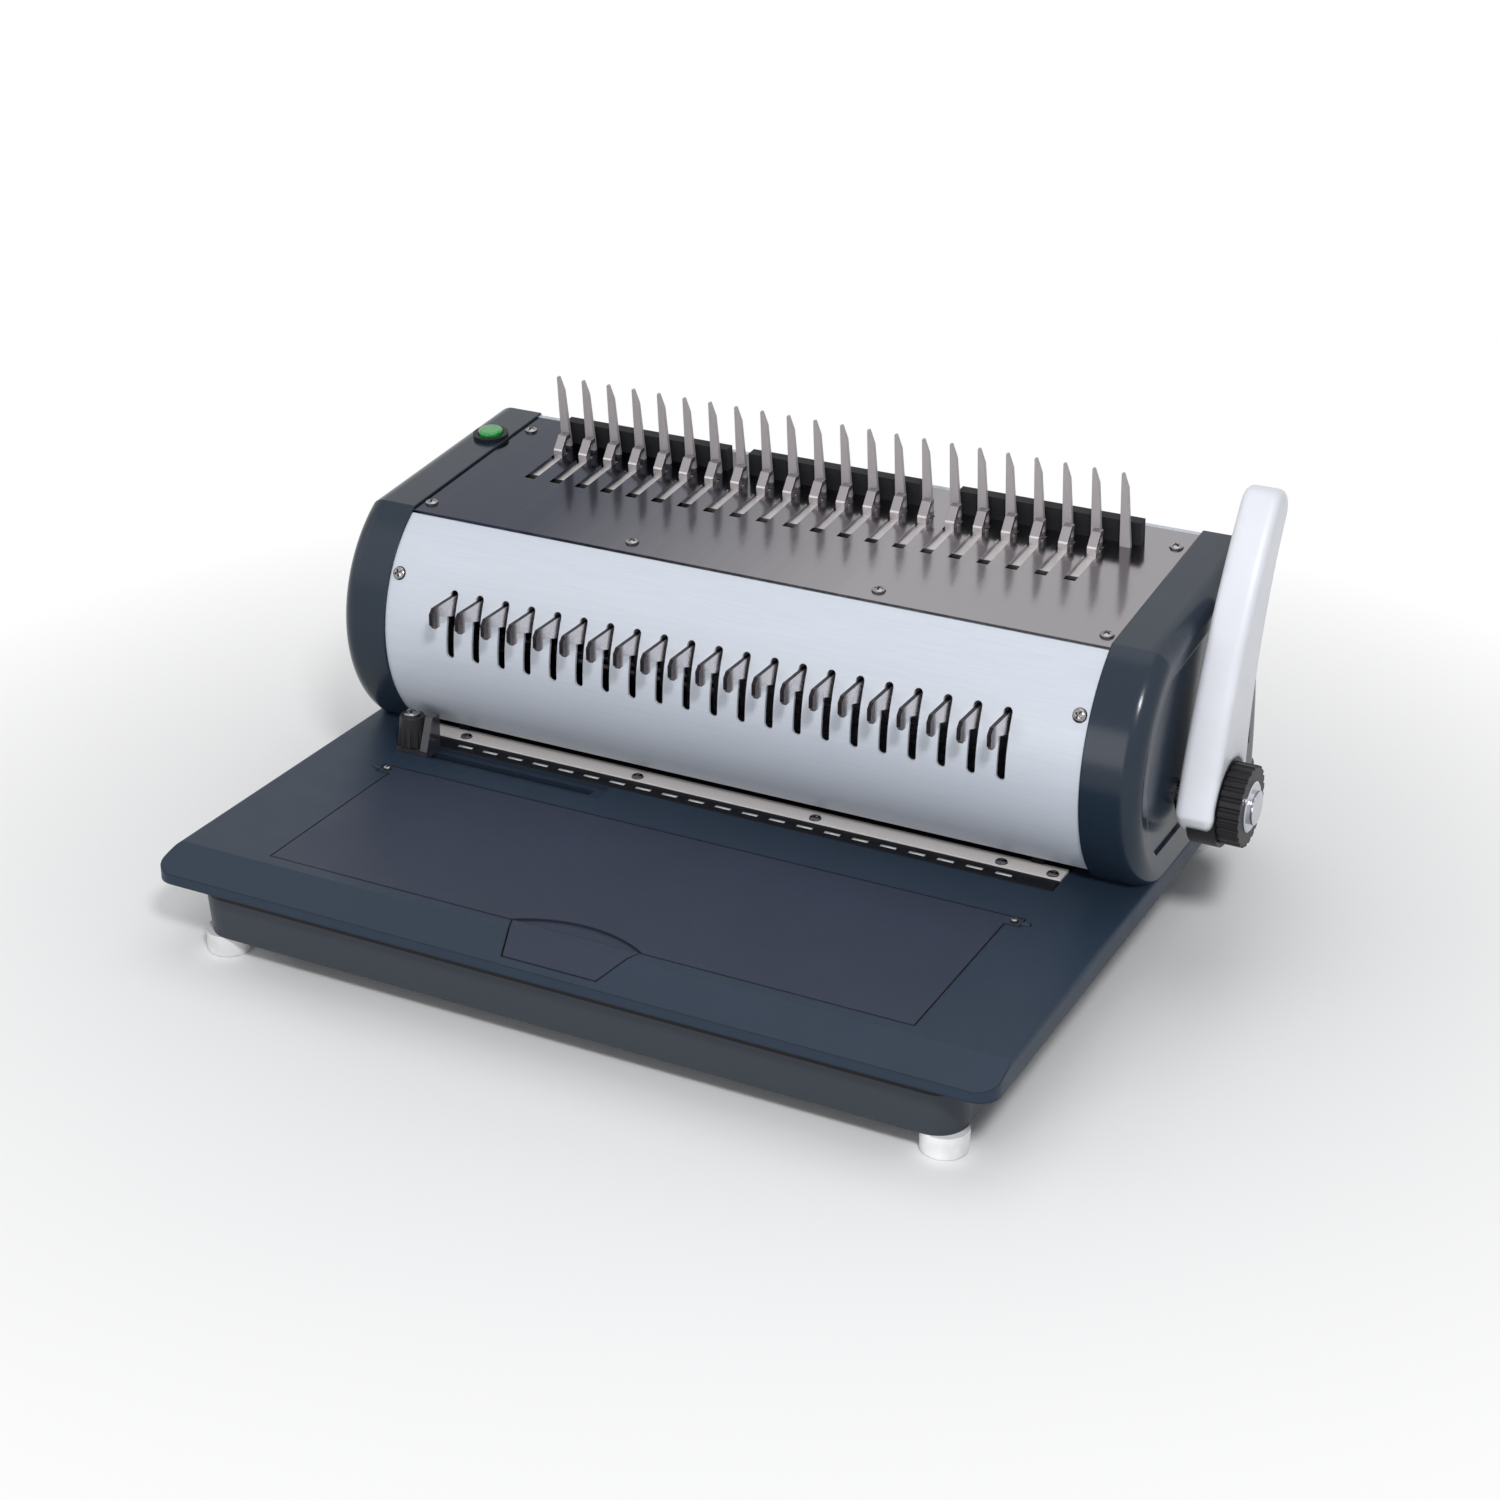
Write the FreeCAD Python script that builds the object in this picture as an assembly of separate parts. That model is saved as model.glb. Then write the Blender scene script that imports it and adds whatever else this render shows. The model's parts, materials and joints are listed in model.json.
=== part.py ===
"""Electric comb binding machine: base tray, curved housing, punch, comb opener."""
import FreeCAD, Part
import math
import os

V = FreeCAD.Vector

# Punching pattern of plastic comb binding
HOLES = 21
PITCH = 14.2875
PIN_W = 8.0
PIN_D = 3.0
FIT_GAP = 0.1            # sliding fit of pins in die and guide, each side
CLEAR = 0.3              # general clearance between pieces that move
SHAFT_GAP = 0.05         # radial running clearance of shafts, posts and pins
OVER = 1.0               # how far a cutting shape reaches past the face it cuts
EDGE_TOL = 0.01          # slack when edges are picked by their place

# Base: tray on a drafted pan on four feet
BASE_FRONT = -165.0
BASE_REAR = 178.0
BASE_CORNER_R = 10.0
TRAY_EDGE_R = 2.0
TRAY_TOP = 48.0
TRAY_EDGE = 10.5
TRAY_SKIN = 5.0
CREASE_Y = -143.7
LIP_DROP = 5.5
PAN_INSET = 17.0
PAN_SETBACK = 7.0
PAN_CORNER_R = 14.0
PAN_DRAFT = 1.5
PAN_WALL = 2.5
FOOT_R = 10.5
FOOT_H = 11.0
FOOT_EDGE_R = 1.5
FOOT_INSET_X = 27.0
FOOT_INSET_Y = 18.5

# Lid of the chip bin in the tray
LID_HALF = 160.0
LID_FRONT = -137.0
LID_AXIS_Y = -36.5
LID_TAIL = 3.5
LID_T = 2.5
LID_GAP = 0.5
LID_LEDGE = 6.0
EAR_OUT = 7.0
EAR_LEN = 3.5
LID_PIN_R = 1.5
LID_PIN_LEN = 4.0
TAB_REAR_HALF = 32.0
TAB_FRONT_HALF = 23.0
TAB_FRONT_Y = -160.0
TAB_T = 2.5
SCOOP_R = 60.0
SCOOP_REACH = 10.0
SCOOP_DEPTH = 1.0

# Edge guide in its track
TRACK_OVER = 4.0
TRACK_RIGHT = -58.0
TRACK_FRONT = -17.0
TRACK_DEPTH = 13.0
TRACK_SINK = 1.5
TRACK_SLOT = 5.0
GUIDE_W = 18.0
GUIDE_FOOT_T = 4.0
GUIDE_FENCE_T = 4.0
GUIDE_FENCE_H = 16.0
GUIDE_NUT_W = 11.0
GUIDE_NUT_T = 2.0
GUIDE_STUD_R = 3.0
GUIDE_POST_H = 12.0
KNOB_R = 7.5
KNOB_H = 15.0
KNOB_FLUTES = 12
KNOB_FLUTE_R = 1.1

# Die, paper throat and stripper
PIN_Y = 28.0
DIE_OVER = 12.0
DIE_FRONT = 7.0
DIE_DEPTH = 40.0
DIE_T = 4.0
DIE_PROUD = 1.0
CHIP_SLOT_D = 12.0
THROAT = 5.0
THROAT_MARGIN = 7.125
STRIPPER_LEG = 6.0
GUIDE_BAR_SETBACK = 3.4
GUIDE_BAR_T = 12.0
STRIP_W = 10.0
STRIP_T = 1.3
STRIP_SINK = 1.0

# Housing: arc front, sloping deck, bowed back, moulded end caps
PANEL_OVER = 5.0
PANEL_T = 1.5
FRONT_R = 68.5
FRONT_FACE_Y = -8.9
FRONT_C_Z = 103.7
PANEL_FOOT_Z = 55.0
CAP_W = 26.5
CAP_PROUD = 1.0
CAP_WALL = 3.0
CAP_EDGE_R = 9.0
BACK_TOP = 93.5
BACK_MID_Y = 165.0
BACK_MID_Z = 108.0
BACK_FOOT_Y = 173.0
FIELD_MARGIN = 15.0
FIELD_DEPTH = 1.2
SLOT_W = 4.2
SLOT_TOP = 133.0
SLOT_BOTTOM = 100.0
SIDE_T = 4.0
SIDE_GAP = 0.2

# Opener shaft: the deck and all that slides under it are square to a slope about this axis
SHAFT_Y = 57.0
SHAFT_Z = 80.0
SHAFT_R = 6.0
DECK_SLOPE = 5.44
DECK_RISE = 83.8
DECK_SETBACK = 0.35
BACK_FOLD = 3.5
BUSH_R = 9.0
BUSH_FLANGE_R = 12.0
BUSH_FLANGE_T = 2.0

# Comb opener: fixed fingers, hooks on a carriage, rack and pinion
FINGER_Y = 65.7
FINGER_SHIFT = 1.8
FINGER_W = 5.3
FINGER_TOP_W = 3.4
FINGER_TIP_W = 1.0
FINGER_T = 2.0
FINGER_H = 37.0
FINGER_POINT = 7.0
FINGER_FLANGE = 14.0
HOOK_SHIFT = 2.7
HOOK_W = 4.6
HOOK_H = 9.0
HOOK_STEM = 4.0
HOOK_LEAN = 5.5
HOOK_KNEE = 3.0
HOOK_NOSE_T = 2.4
HOOK_GAP = 3.5
DECK_SLOT_W = 5.8
PLATE_T = 2.0
PLATE_BACK = 30.0
OPENER_TRAVEL = 28.0
CARRIAGE_GAP = 4.0
UPRIGHT_FRONT = -8.0
UPRIGHT_D = 30.0
UPRIGHT_SLANT = 14.0
UPRIGHT_T = 2.0
STRUT_H = 12.0
RAIL_Z = 56.0
RAIL_H = 6.0
RAIL_W = 7.0
RAIL_SHOULDER = 4.5
LIP_T = 3.0
LIP_W = 4.5
MODULE = 2.0
PINION_TEETH = 20
PRESSURE = 20.0
BACKLASH = 0.25
GEAR_W = 8.0
RACK_W = 6.0
RACK_FRONT = -12.0
RACK_TEETH = 9
RACK_BODY = 6.0
PAD_LEFTS = (-150.0, -46.0, 66.0)
PAD_LEN = 92.0
PAD_D = 6.0
PAD_H = 11.5
PAD_GAP = 2.0

# Handle on the opener shaft
HANDLE_GAP = 3.5
HANDLE_W = 18.0
HANDLE_LEN = 134.0
HANDLE_SWEEP = 46.0
HANDLE_FOOT_R = 25.0
HANDLE_TOP_R = 10.5
HANDLE_BOW = 9.0
HANDLE_EDGE_R = 4.0
HANDLE_CHEEK = 5.0
HUB_R = 21.0
HUB_DROP = 15.0
KNURL_R = 19.0
KNURL_W = 10.0
KNURL_RIDGES = 24
KNURL_DEPTH = 1.2
HUB_CAP_R = 8.0
HUB_CAP_W = 3.0

# Punch bar, pins and their pulls
STROKE = 14.0
PIN_TIP = 56.0
BAR_BOTTOM = 112.0
BAR_H = 24.0
BAR_FRONT = 12.0
BAR_D = 36.0
BAR_OVER = 5.0
PIN_SEAT = 9.0
PULL_T = 2.0
PULL_H = 10.0
PULL_REACH = 24.5
PULL_NOSE = 10.5
PULL_NOSE_D = 6.0
PULL_NECK = 5.5
PULL_ROOT = 6.0
PULL_CORNER = 2.5
PULL_TRAVEL = 8.0
POST_R = 4.0
POST_X = 118.0
POST_Y = 41.0
POST_TOP = 152.0

# Cam drive of the punch bar
CAM_Y = 88.0
CAM_Z = 126.0
CAM_SHAFT_R = 7.0
CAM_X = 130.0
CAM_W = 8.0
CAM_MIN_R = 12.0
CAM_TURN = 180.0
CAM_SPANS = 16
FOLLOWER_R = 7.0
FOLLOWER_PIN_R = 3.0
ARM_T = 6.0
ARM_H = 10.0
ARM_TAIL = 8.0
GEARBOX_HALF = 30.0
GEARBOX_D = 40.0
GEARBOX_H = 46.0
MOTOR_R = 24.0
MOTOR_LEN = 84.0
MOTOR_DROP = 28.0
MOTOR_BACK = 38.0

# Start button, power inlet and power switch
BUTTON_INSET = 9.0
BUTTON_Y = 58.2
BUTTON_R = 6.2
BUTTON_PROUD = 4.0
BUTTON_TRAVEL = 2.5
BUTTON_DOME = 1.2
BEZEL_R = 9.0
BEZEL_PROUD = 2.0
BEZEL_BODY_R = 8.0
BEZEL_BODY_H = 22.0
INLET_X = 120.0
INLET_Z = 78.0
INLET_W = 27.0
INLET_H = 20.0
INLET_D = 22.0
INLET_WALL = 2.0
INLET_CAVITY = 16.0
BLADE_GAP = 7.0
BLADE_W = 2.0
BLADE_H = 4.0
SWITCH_X = 80.0
SWITCH_W = 15.0
SWITCH_H = 21.0
SWITCH_D = 16.0
SWITCH_WALL = 1.5
FLANGE = 2.5
FLANGE_T = 2.0
ROCKER_ROCK = 8.0
ROCKER_PIN_R = 1.5

# Values worked out from the sizes above, widths outwards from the punch row
ROW_HALF = PITCH * (HOLES - 1) / 2
THROAT_HALF = ROW_HALF + THROAT_MARGIN
STRIPPER_HALF = THROAT_HALF + STRIPPER_LEG
BAR_HALF = THROAT_HALF + BAR_OVER
DIE_HALF = STRIPPER_HALF + DIE_OVER
TRACK_LEFT = -DIE_HALF - TRACK_OVER
CARRIAGE_X = STRIPPER_HALF + CARRIAGE_GAP
SIDE_X = CARRIAGE_X + UPRIGHT_T + LIP_W + RAIL_SHOULDER
PANEL_HALF = SIDE_X + SIDE_T + PANEL_OVER
CAP_OUT = PANEL_HALF + CAP_W
BASE_HALF = CAP_OUT
BUTTON_X = -PANEL_HALF - BUTTON_INSET
HANDLE_X = CAP_OUT + HANDLE_GAP
FRONT_C_Y = FRONT_FACE_Y + FRONT_R
TRAY_FLOOR = TRAY_TOP - TRAY_EDGE
DIE_TOP = TRAY_TOP + DIE_PROUD
DIE_SEAT = DIE_TOP - DIE_T
GUIDE_BAR_Z = DIE_TOP + THROAT
DECK_TOP = SHAFT_Z + DECK_RISE
DECK_UNDER = DECK_TOP - PANEL_T
PULL_TOP = BAR_BOTTOM + PIN_SEAT + PULL_H
HUB_OUT = HANDLE_X + HANDLE_W + CLEAR
KNURL_OUT = HUB_OUT + KNURL_W
FINGERS = HOLES + 1
CAM_RISE = STROKE / math.radians(CAM_TURN)
FOLLOWER_Z = CAM_Z - CAM_MIN_R - FOLLOWER_R - CLEAR
ARM_X = CAM_X + CAM_W / 2 + CLEAR
INLET_FACE_Y = BACK_FOOT_Y + FLANGE_T
X_MID = (KNURL_OUT + HUB_CAP_W - BASE_HALF) / 2
Y_MID = (BASE_REAR + BASE_FRONT) / 2

hole_xs = [PITCH * i - ROW_HALF for i in range(HOLES)]
finger_xs = [PITCH * (i - (FINGERS - 1) / 2) + FINGER_SHIFT for i in range(FINGERS)]


def box(x0, x1, y0, y1, z0, z1):
    return Part.makeBox(x1 - x0, y1 - y0, z1 - z0, V(x0, y0, z0))


def rod_x(r, x0, x1, y, z):
    return Part.makeCylinder(r, x1 - x0, V(x0, y, z), V(1, 0, 0))


def rod_z(r, z0, z1, x, y):
    return Part.makeCylinder(r, z1 - z0, V(x, y, z0), V(0, 0, 1))


def prism_x(points, x0, x1):
    """Extrude a closed (y, z) polygon along X."""
    ring = [V(x0, y, z) for y, z in points]
    return Part.Face(Part.makePolygon(ring + ring[:1])).extrude(V(x1 - x0, 0, 0))


def prism_z(points, z0, z1):
    """Extrude a closed (x, y) polygon along Z."""
    ring = [V(x, y, z0) for x, y in points]
    return Part.Face(Part.makePolygon(ring + ring[:1])).extrude(V(0, 0, z1 - z0))


def arc_yz(x, a, b, c):
    """Arc edge through three (y, z) points in the plane at x."""
    return Part.Arc(V(x, *a), V(x, *b), V(x, *c)).toShape()


def line_yz(x, a, b):
    return Part.makeLine(V(x, *a), V(x, *b))


def rounded_wire(x_half, y0, y1, r, z):
    """Rounded rectangle, centred in X, at height z."""
    face = Part.Face(Part.makePolygon([
        V(-x_half, y0, z), V(x_half, y0, z), V(x_half, y1, z), V(-x_half, y1, z), V(-x_half, y0, z)]))
    block = face.extrude(V(0, 0, OVER))
    uprights = [e for e in block.Edges if abs(e.Vertexes[0].Z - e.Vertexes[1].Z) > 0.5]
    rounded = block.makeFillet(r, uprights)
    return [f for f in rounded.Faces if f.normalAt(0, 0).z < -0.9][0].OuterWire


def tilt(shape):
    """Turn a shape modelled level about the opener shaft onto the deck's slope."""
    turned = shape.copy()
    turned.rotate(V(0, SHAFT_Y, SHAFT_Z), V(1, 0, 0), DECK_SLOPE)
    return turned


def above_deck():
    """Everything over the deck sheet's underside, to trim walls that meet it."""
    reach = 2 * BASE_HALF
    return tilt(box(-reach, reach, SHAFT_Y - reach, SHAFT_Y + reach, DECK_UNDER, DECK_UNDER + reach))


def deck_point(y_slope, z):
    """The (y, z) of a point given level, after the tilt."""
    a = math.radians(DECK_SLOPE)
    dy, dz = y_slope, z - SHAFT_Z
    return SHAFT_Y + dy * math.cos(a) - dz * math.sin(a), SHAFT_Z + dy * math.sin(a) + dz * math.cos(a)


def front_y(z, radius):
    """Front of the housing at height z, on the arc of this radius."""
    return FRONT_C_Y - math.sqrt(radius ** 2 - (z - FRONT_C_Z) ** 2)


def back_arc(inset):
    """Circle of the bowed back, moved in by inset."""
    top = deck_point(BACK_TOP, DECK_TOP + CAP_PROUD)
    bow = Part.Circle(V(0, *top), V(0, BACK_MID_Y, BACK_MID_Z), V(0, BACK_FOOT_Y, TRAY_TOP))
    return Part.Circle(bow.Center, V(1, 0, 0), bow.Radius - inset)


def back_y(circle, z):
    return circle.Center.y + math.sqrt(circle.Radius ** 2 - (z - circle.Center.z) ** 2)


def slope_to_circle(deck_z, cy, cz, radius, side):
    """Distance from the shaft, along the slope, to where the plane at this level height cuts a circle."""
    a = math.radians(DECK_SLOPE)
    dy, dz = cy - SHAFT_Y, cz - SHAFT_Z
    level_y, level_z = dy * math.cos(a) + dz * math.sin(a), dz * math.cos(a) - dy * math.sin(a)
    return level_y + side * math.sqrt(radius ** 2 - (deck_z - SHAFT_Z - level_z) ** 2)


def deck_meets_circle(deck_z, cy, cz, radius, side):
    """The (y, z) of that point, on the circle's front (-1) or back (1) side."""
    return deck_point(slope_to_circle(deck_z, cy, cz, radius, side), deck_z)


def housing_wire(inset, foot_z, x):
    """Side outline of the housing, moved in by inset from the caps' outside."""
    r = FRONT_R + CAP_PROUD - inset
    foot = (front_y(foot_z, r), foot_z)
    waist = (FRONT_C_Y - r, FRONT_C_Z)
    back = back_arc(inset)
    deck_z = DECK_TOP + CAP_PROUD - inset
    brow = deck_meets_circle(deck_z, FRONT_C_Y, FRONT_C_Z, r, -1)
    top = deck_meets_circle(deck_z, back.Center.y, back.Center.z, back.Radius, 1)
    heel = (back_y(back, foot_z), foot_z)
    return Part.Wire([
        arc_yz(x, foot, waist, brow),
        line_yz(x, brow, top),
        arc_yz(x, top, (back_y(back, FRONT_C_Z), FRONT_C_Z), heel),
        line_yz(x, heel, foot),
    ])


def feet():
    solids = []
    for x in (-1, 1):
        for y in (BASE_FRONT + FOOT_INSET_Y, BASE_REAR - FOOT_INSET_Y):
            foot = rod_z(FOOT_R, 0, FOOT_H, x * (BASE_HALF - FOOT_INSET_X), y)
            rim = [e for e in foot.Edges if e.BoundBox.ZMax < EDGE_TOL and e.Closed]
            solids.append(foot.makeFillet(FOOT_EDGE_R, rim))
    return Part.makeCompound(solids)


def lower_base():
    half = BASE_HALF - PAN_INSET
    y0, y1 = BASE_FRONT + PAN_SETBACK, BASE_REAR - PAN_SETBACK

    def drafted(inset, z0, z1):
        wires = []
        for z, draft in ((z0, PAN_DRAFT), (z1, 0)):
            grow = -inset - draft
            wires.append(rounded_wire(half + grow, y0 - grow, y1 + grow, PAN_CORNER_R - inset, z))
        return Part.makeLoft(wires, True, True)

    return drafted(0, FOOT_H, TRAY_FLOOR).cut(drafted(PAN_WALL, FOOT_H + PAN_WALL, TRAY_FLOOR + OVER))


def tray_block():
    """Outer form of the tray: rounded plan, sloping front lip."""
    wire = rounded_wire(BASE_HALF, BASE_FRONT, BASE_REAR, BASE_CORNER_R, TRAY_FLOOR)
    block = Part.Face(wire).extrude(V(0, 0, TRAY_EDGE))
    slope = prism_x([(CREASE_Y, TRAY_TOP), (CREASE_Y, TRAY_TOP + OVER), (BASE_FRONT - OVER, TRAY_TOP + OVER),
                     (BASE_FRONT - OVER, TRAY_TOP - LIP_DROP), (BASE_FRONT, TRAY_TOP - LIP_DROP)],
                    -BASE_HALF - OVER, BASE_HALF + OVER)
    block = block.cut(slope)
    # The rim is rounded all along the outside, up to the front lip's slope
    top = [e for e in block.Edges if e.BoundBox.ZMin > TRAY_TOP - EDGE_TOL]
    rim = [e for e in top if e.BoundBox.YMax > CREASE_Y + EDGE_TOL]
    return block.makeFillet(TRAY_EDGE_R, rim)


def lid_plan(grow):
    """Plan of the lid with its hinge ears, grown all round."""
    h, ear = LID_HALF + grow, LID_HALF + EAR_OUT + grow
    front, tail = LID_FRONT - grow, LID_AXIS_Y + LID_TAIL + grow
    ear_y = LID_AXIS_Y - EAR_LEN - grow
    return [(-h, front), (h, front), (h, ear_y), (ear, ear_y),
            (ear, tail), (-ear, tail), (-ear, ear_y), (-h, ear_y)]


def tab_plan(grow):
    rear = LID_FRONT + OVER
    return [(-TAB_REAR_HALF - grow, rear), (-TAB_FRONT_HALF - grow, TAB_FRONT_Y - grow),
            (TAB_FRONT_HALF + grow, TAB_FRONT_Y - grow), (TAB_REAR_HALF + grow, rear)]


def lid_pins(r, extra):
    z = TRAY_TOP - LID_T + LID_PIN_R
    out = LID_HALF + EAR_OUT
    pins = [rod_x(r, out, out + LID_PIN_LEN + extra, LID_AXIS_Y, z)]
    pins.append(rod_x(r, -out - LID_PIN_LEN - extra, -out, LID_AXIS_Y, z))
    return pins


def base_tray():
    tray = tray_block()
    half = BASE_HALF - PAN_INSET - PAN_WALL
    y0, y1 = BASE_FRONT + PAN_SETBACK + PAN_WALL, BASE_REAR - PAN_SETBACK - PAN_WALL
    pocket = Part.Face(rounded_wire(half, y0, y1, PAN_CORNER_R - PAN_WALL, TRAY_FLOOR))
    # The pocket stops at the crease, where the skin starts to fall
    hollow = pocket.extrude(V(0, 0, TRAY_EDGE - TRAY_SKIN)).common(
        box(-BASE_HALF, BASE_HALF, CREASE_Y, BASE_REAR, 0, TRAY_TOP))
    cuts = [hollow]
    # Lid seat, bin mouth and the tab's scoop
    seat = TRAY_TOP - LID_T
    cuts.append(prism_z(lid_plan(LID_GAP), seat, TRAY_TOP + OVER))
    mouth_rear = LID_AXIS_Y + LID_TAIL + LID_GAP
    mouth_half = LID_HALF - LID_LEDGE
    cuts.append(box(-mouth_half, mouth_half, LID_FRONT + LID_LEDGE, mouth_rear, 0, TRAY_TOP + OVER))
    skin = tray_block()
    skin.translate(V(0, 0, -TAB_T - LID_GAP))
    cuts.append(prism_z(tab_plan(LID_GAP), TRAY_FLOOR, TRAY_TOP + OVER).cut(skin))
    cuts += lid_pins(LID_PIN_R + SHAFT_GAP, CLEAR)
    # Room for the lid's tail to swing down behind its axis
    swing = math.hypot(LID_TAIL, LID_T - LID_PIN_R) + LID_GAP
    ear = LID_HALF + EAR_OUT + LID_GAP
    cuts.append(rod_x(swing, -ear, ear, LID_AXIS_Y, seat + LID_PIN_R))
    # Guide track with its clamping slot
    track_rear = TRACK_FRONT + TRACK_DEPTH
    slot_y = (TRACK_FRONT + track_rear) / 2
    cuts.append(box(TRACK_LEFT, TRACK_RIGHT, TRACK_FRONT, track_rear, TRAY_TOP - TRACK_SINK, TRAY_TOP + OVER))
    ends = (GUIDE_W - TRACK_SLOT) / 2
    cuts.append(box(TRACK_LEFT + ends, TRACK_RIGHT - ends, slot_y - TRACK_SLOT / 2, slot_y + TRACK_SLOT / 2,
                    0, TRAY_TOP))
    # Die seat, chip slot and scale strip seat
    half = DIE_HALF + FIT_GAP
    die_rear = DIE_FRONT + DIE_DEPTH + FIT_GAP
    cuts.append(box(-half, half, DIE_FRONT - FIT_GAP, die_rear, DIE_SEAT, TRAY_TOP + OVER))
    row = hole_xs[-1] + PIN_W
    cuts.append(box(-row, row, PIN_Y - CHIP_SLOT_D / 2, PIN_Y + CHIP_SLOT_D / 2, 0, TRAY_TOP))
    strip_front = DIE_FRONT - STRIP_W - FIT_GAP
    cuts.append(box(-half, half, strip_front, DIE_FRONT, TRAY_TOP - STRIP_SINK, TRAY_TOP + OVER))
    return tray.cut(cuts).removeSplitter()


def bin_lid():
    z0 = TRAY_TOP - LID_T
    lid = prism_z(lid_plan(0), z0, TRAY_TOP)
    skin = tray_block()
    skin.translate(V(0, 0, -TAB_T))
    tab = prism_z(tab_plan(0), TRAY_FLOOR, TRAY_TOP).common(tray_block()).cut(skin)
    lid = lid.fuse([tab] + lid_pins(LID_PIN_R, 0))
    scoop = rod_z(SCOOP_R, TRAY_TOP - SCOOP_DEPTH, TRAY_TOP + OVER, 0, LID_FRONT + SCOOP_REACH - SCOOP_R)
    scoop = scoop.cut(box(-BASE_HALF, BASE_HALF, BASE_FRONT - SCOOP_R, LID_FRONT, 0, TRAY_TOP + 2 * OVER))
    return lid.cut(scoop).removeSplitter()


def guide_centre():
    return TRACK_LEFT + CLEAR + GUIDE_W / 2, TRACK_FRONT + TRACK_DEPTH / 2


def guide_post_x():
    """The clamping post stands so far left that its knob turns clear of the fence."""
    return TRACK_LEFT + CLEAR + GUIDE_W - GUIDE_FENCE_T - KNOB_R - CLEAR


def edge_guide():
    x, y = guide_centre()
    floor = TRAY_TOP - TRACK_SINK
    y0, y1 = TRACK_FRONT + CLEAR, TRACK_FRONT + TRACK_DEPTH - CLEAR
    foot = box(x - GUIDE_W / 2, x + GUIDE_W / 2, y0, y1, floor, floor + GUIDE_FOOT_T)
    top = floor + GUIDE_FOOT_T
    fence_x = x + GUIDE_W / 2
    fence = prism_x([(y0, top), (y1, top), (y1, top + GUIDE_FENCE_H), (y, top + GUIDE_FENCE_H)],
                    fence_x - GUIDE_FENCE_T, fence_x)
    post = rod_z(GUIDE_STUD_R, top, top + GUIDE_POST_H, guide_post_x(), y)
    under = TRAY_TOP - TRAY_SKIN - CLEAR
    web = box(x - TRACK_SLOT / 2, x + TRACK_SLOT / 2, y - TRACK_SLOT / 2 + CLEAR, y + TRACK_SLOT / 2 - CLEAR,
              under, floor)
    nut = box(x - GUIDE_NUT_W / 2, x + GUIDE_NUT_W / 2, y - GUIDE_NUT_W / 2, y + GUIDE_NUT_W / 2,
              under - GUIDE_NUT_T, under)
    return foot.fuse([fence, post, web, nut]).removeSplitter()


def guide_knob():
    x, y = guide_post_x(), guide_centre()[1]
    z0 = TRAY_TOP - TRACK_SINK + GUIDE_FOOT_T + CLEAR
    knob = Part.makeCone(KNOB_R, KNOB_R * 0.8, KNOB_H, V(x, y, z0))
    bore = rod_z(GUIDE_STUD_R + SHAFT_GAP, z0 - OVER, z0 + GUIDE_POST_H, x, y)
    flutes = []
    for i in range(KNOB_FLUTES):
        a = 2 * math.pi * i / KNOB_FLUTES
        rim_x, rim_y = x + KNOB_R * math.cos(a), y + KNOB_R * math.sin(a)
        flutes.append(rod_z(KNOB_FLUTE_R, z0, z0 + KNOB_H, rim_x, rim_y))
    return knob.cut([bore] + flutes)


def pin_holes(gap, z0, z1):
    w, d = PIN_W / 2 + gap, PIN_D / 2 + gap
    return [box(x - w, x + w, PIN_Y - d, PIN_Y + d, z0, z1) for x in hole_xs]


def die_plate():
    plate = box(-DIE_HALF, DIE_HALF, DIE_FRONT, DIE_FRONT + DIE_DEPTH, DIE_SEAT, DIE_TOP)
    return plate.cut(pin_holes(FIT_GAP, DIE_SEAT - OVER, DIE_TOP + OVER))


def scale_strip():
    z0 = TRAY_TOP - STRIP_SINK
    return box(-DIE_HALF, DIE_HALF, DIE_FRONT - STRIP_W, DIE_FRONT - FIT_GAP, z0, z0 + STRIP_T)


def stripper_bar():
    y0 = front_y(PANEL_FOOT_Z, FRONT_R - PANEL_T) + GUIDE_BAR_SETBACK
    y1 = DIE_FRONT + DIE_DEPTH
    bar = box(-STRIPPER_HALF, STRIPPER_HALF, y0, y1, GUIDE_BAR_Z, GUIDE_BAR_Z + GUIDE_BAR_T)
    legs = [box(x0, x0 + STRIPPER_LEG, y0, y1, DIE_TOP, GUIDE_BAR_Z) for x0 in (-STRIPPER_HALF, THROAT_HALF)]
    holes = pin_holes(FIT_GAP, GUIDE_BAR_Z - OVER, GUIDE_BAR_Z + GUIDE_BAR_T + OVER)
    return bar.fuse(legs).removeSplitter().cut(holes)


def guide_posts():
    z0 = GUIDE_BAR_Z + GUIDE_BAR_T
    return Part.makeCompound([rod_z(POST_R, z0, POST_TOP, x, POST_Y) for x in (-POST_X, POST_X)])


def front_panel():
    outer = rod_x(FRONT_R, -PANEL_HALF, PANEL_HALF, FRONT_C_Y, FRONT_C_Z)
    inner = rod_x(FRONT_R - PANEL_T, -PANEL_HALF - OVER, PANEL_HALF + OVER, FRONT_C_Y, FRONT_C_Z)
    reach = 2 * FRONT_R
    front = box(-PANEL_HALF, PANEL_HALF, FRONT_C_Y - reach, FRONT_C_Y, PANEL_FOOT_Z, FRONT_C_Z + reach)
    sheet = outer.cut(inner).common(front).cut(above_deck())
    slots = []
    r = SLOT_W / 2
    for x in hole_xs:
        slot = box(x - r, x + r, FRONT_C_Y - reach, FRONT_C_Y, SLOT_BOTTOM + r, SLOT_TOP - r)
        ends = [Part.makeCylinder(r, reach, V(x, FRONT_C_Y - reach, z), V(0, 1, 0))
                for z in (SLOT_BOTTOM + r, SLOT_TOP - r)]
        slots.append(slot.fuse(ends))
    return sheet.cut(slots)


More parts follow.
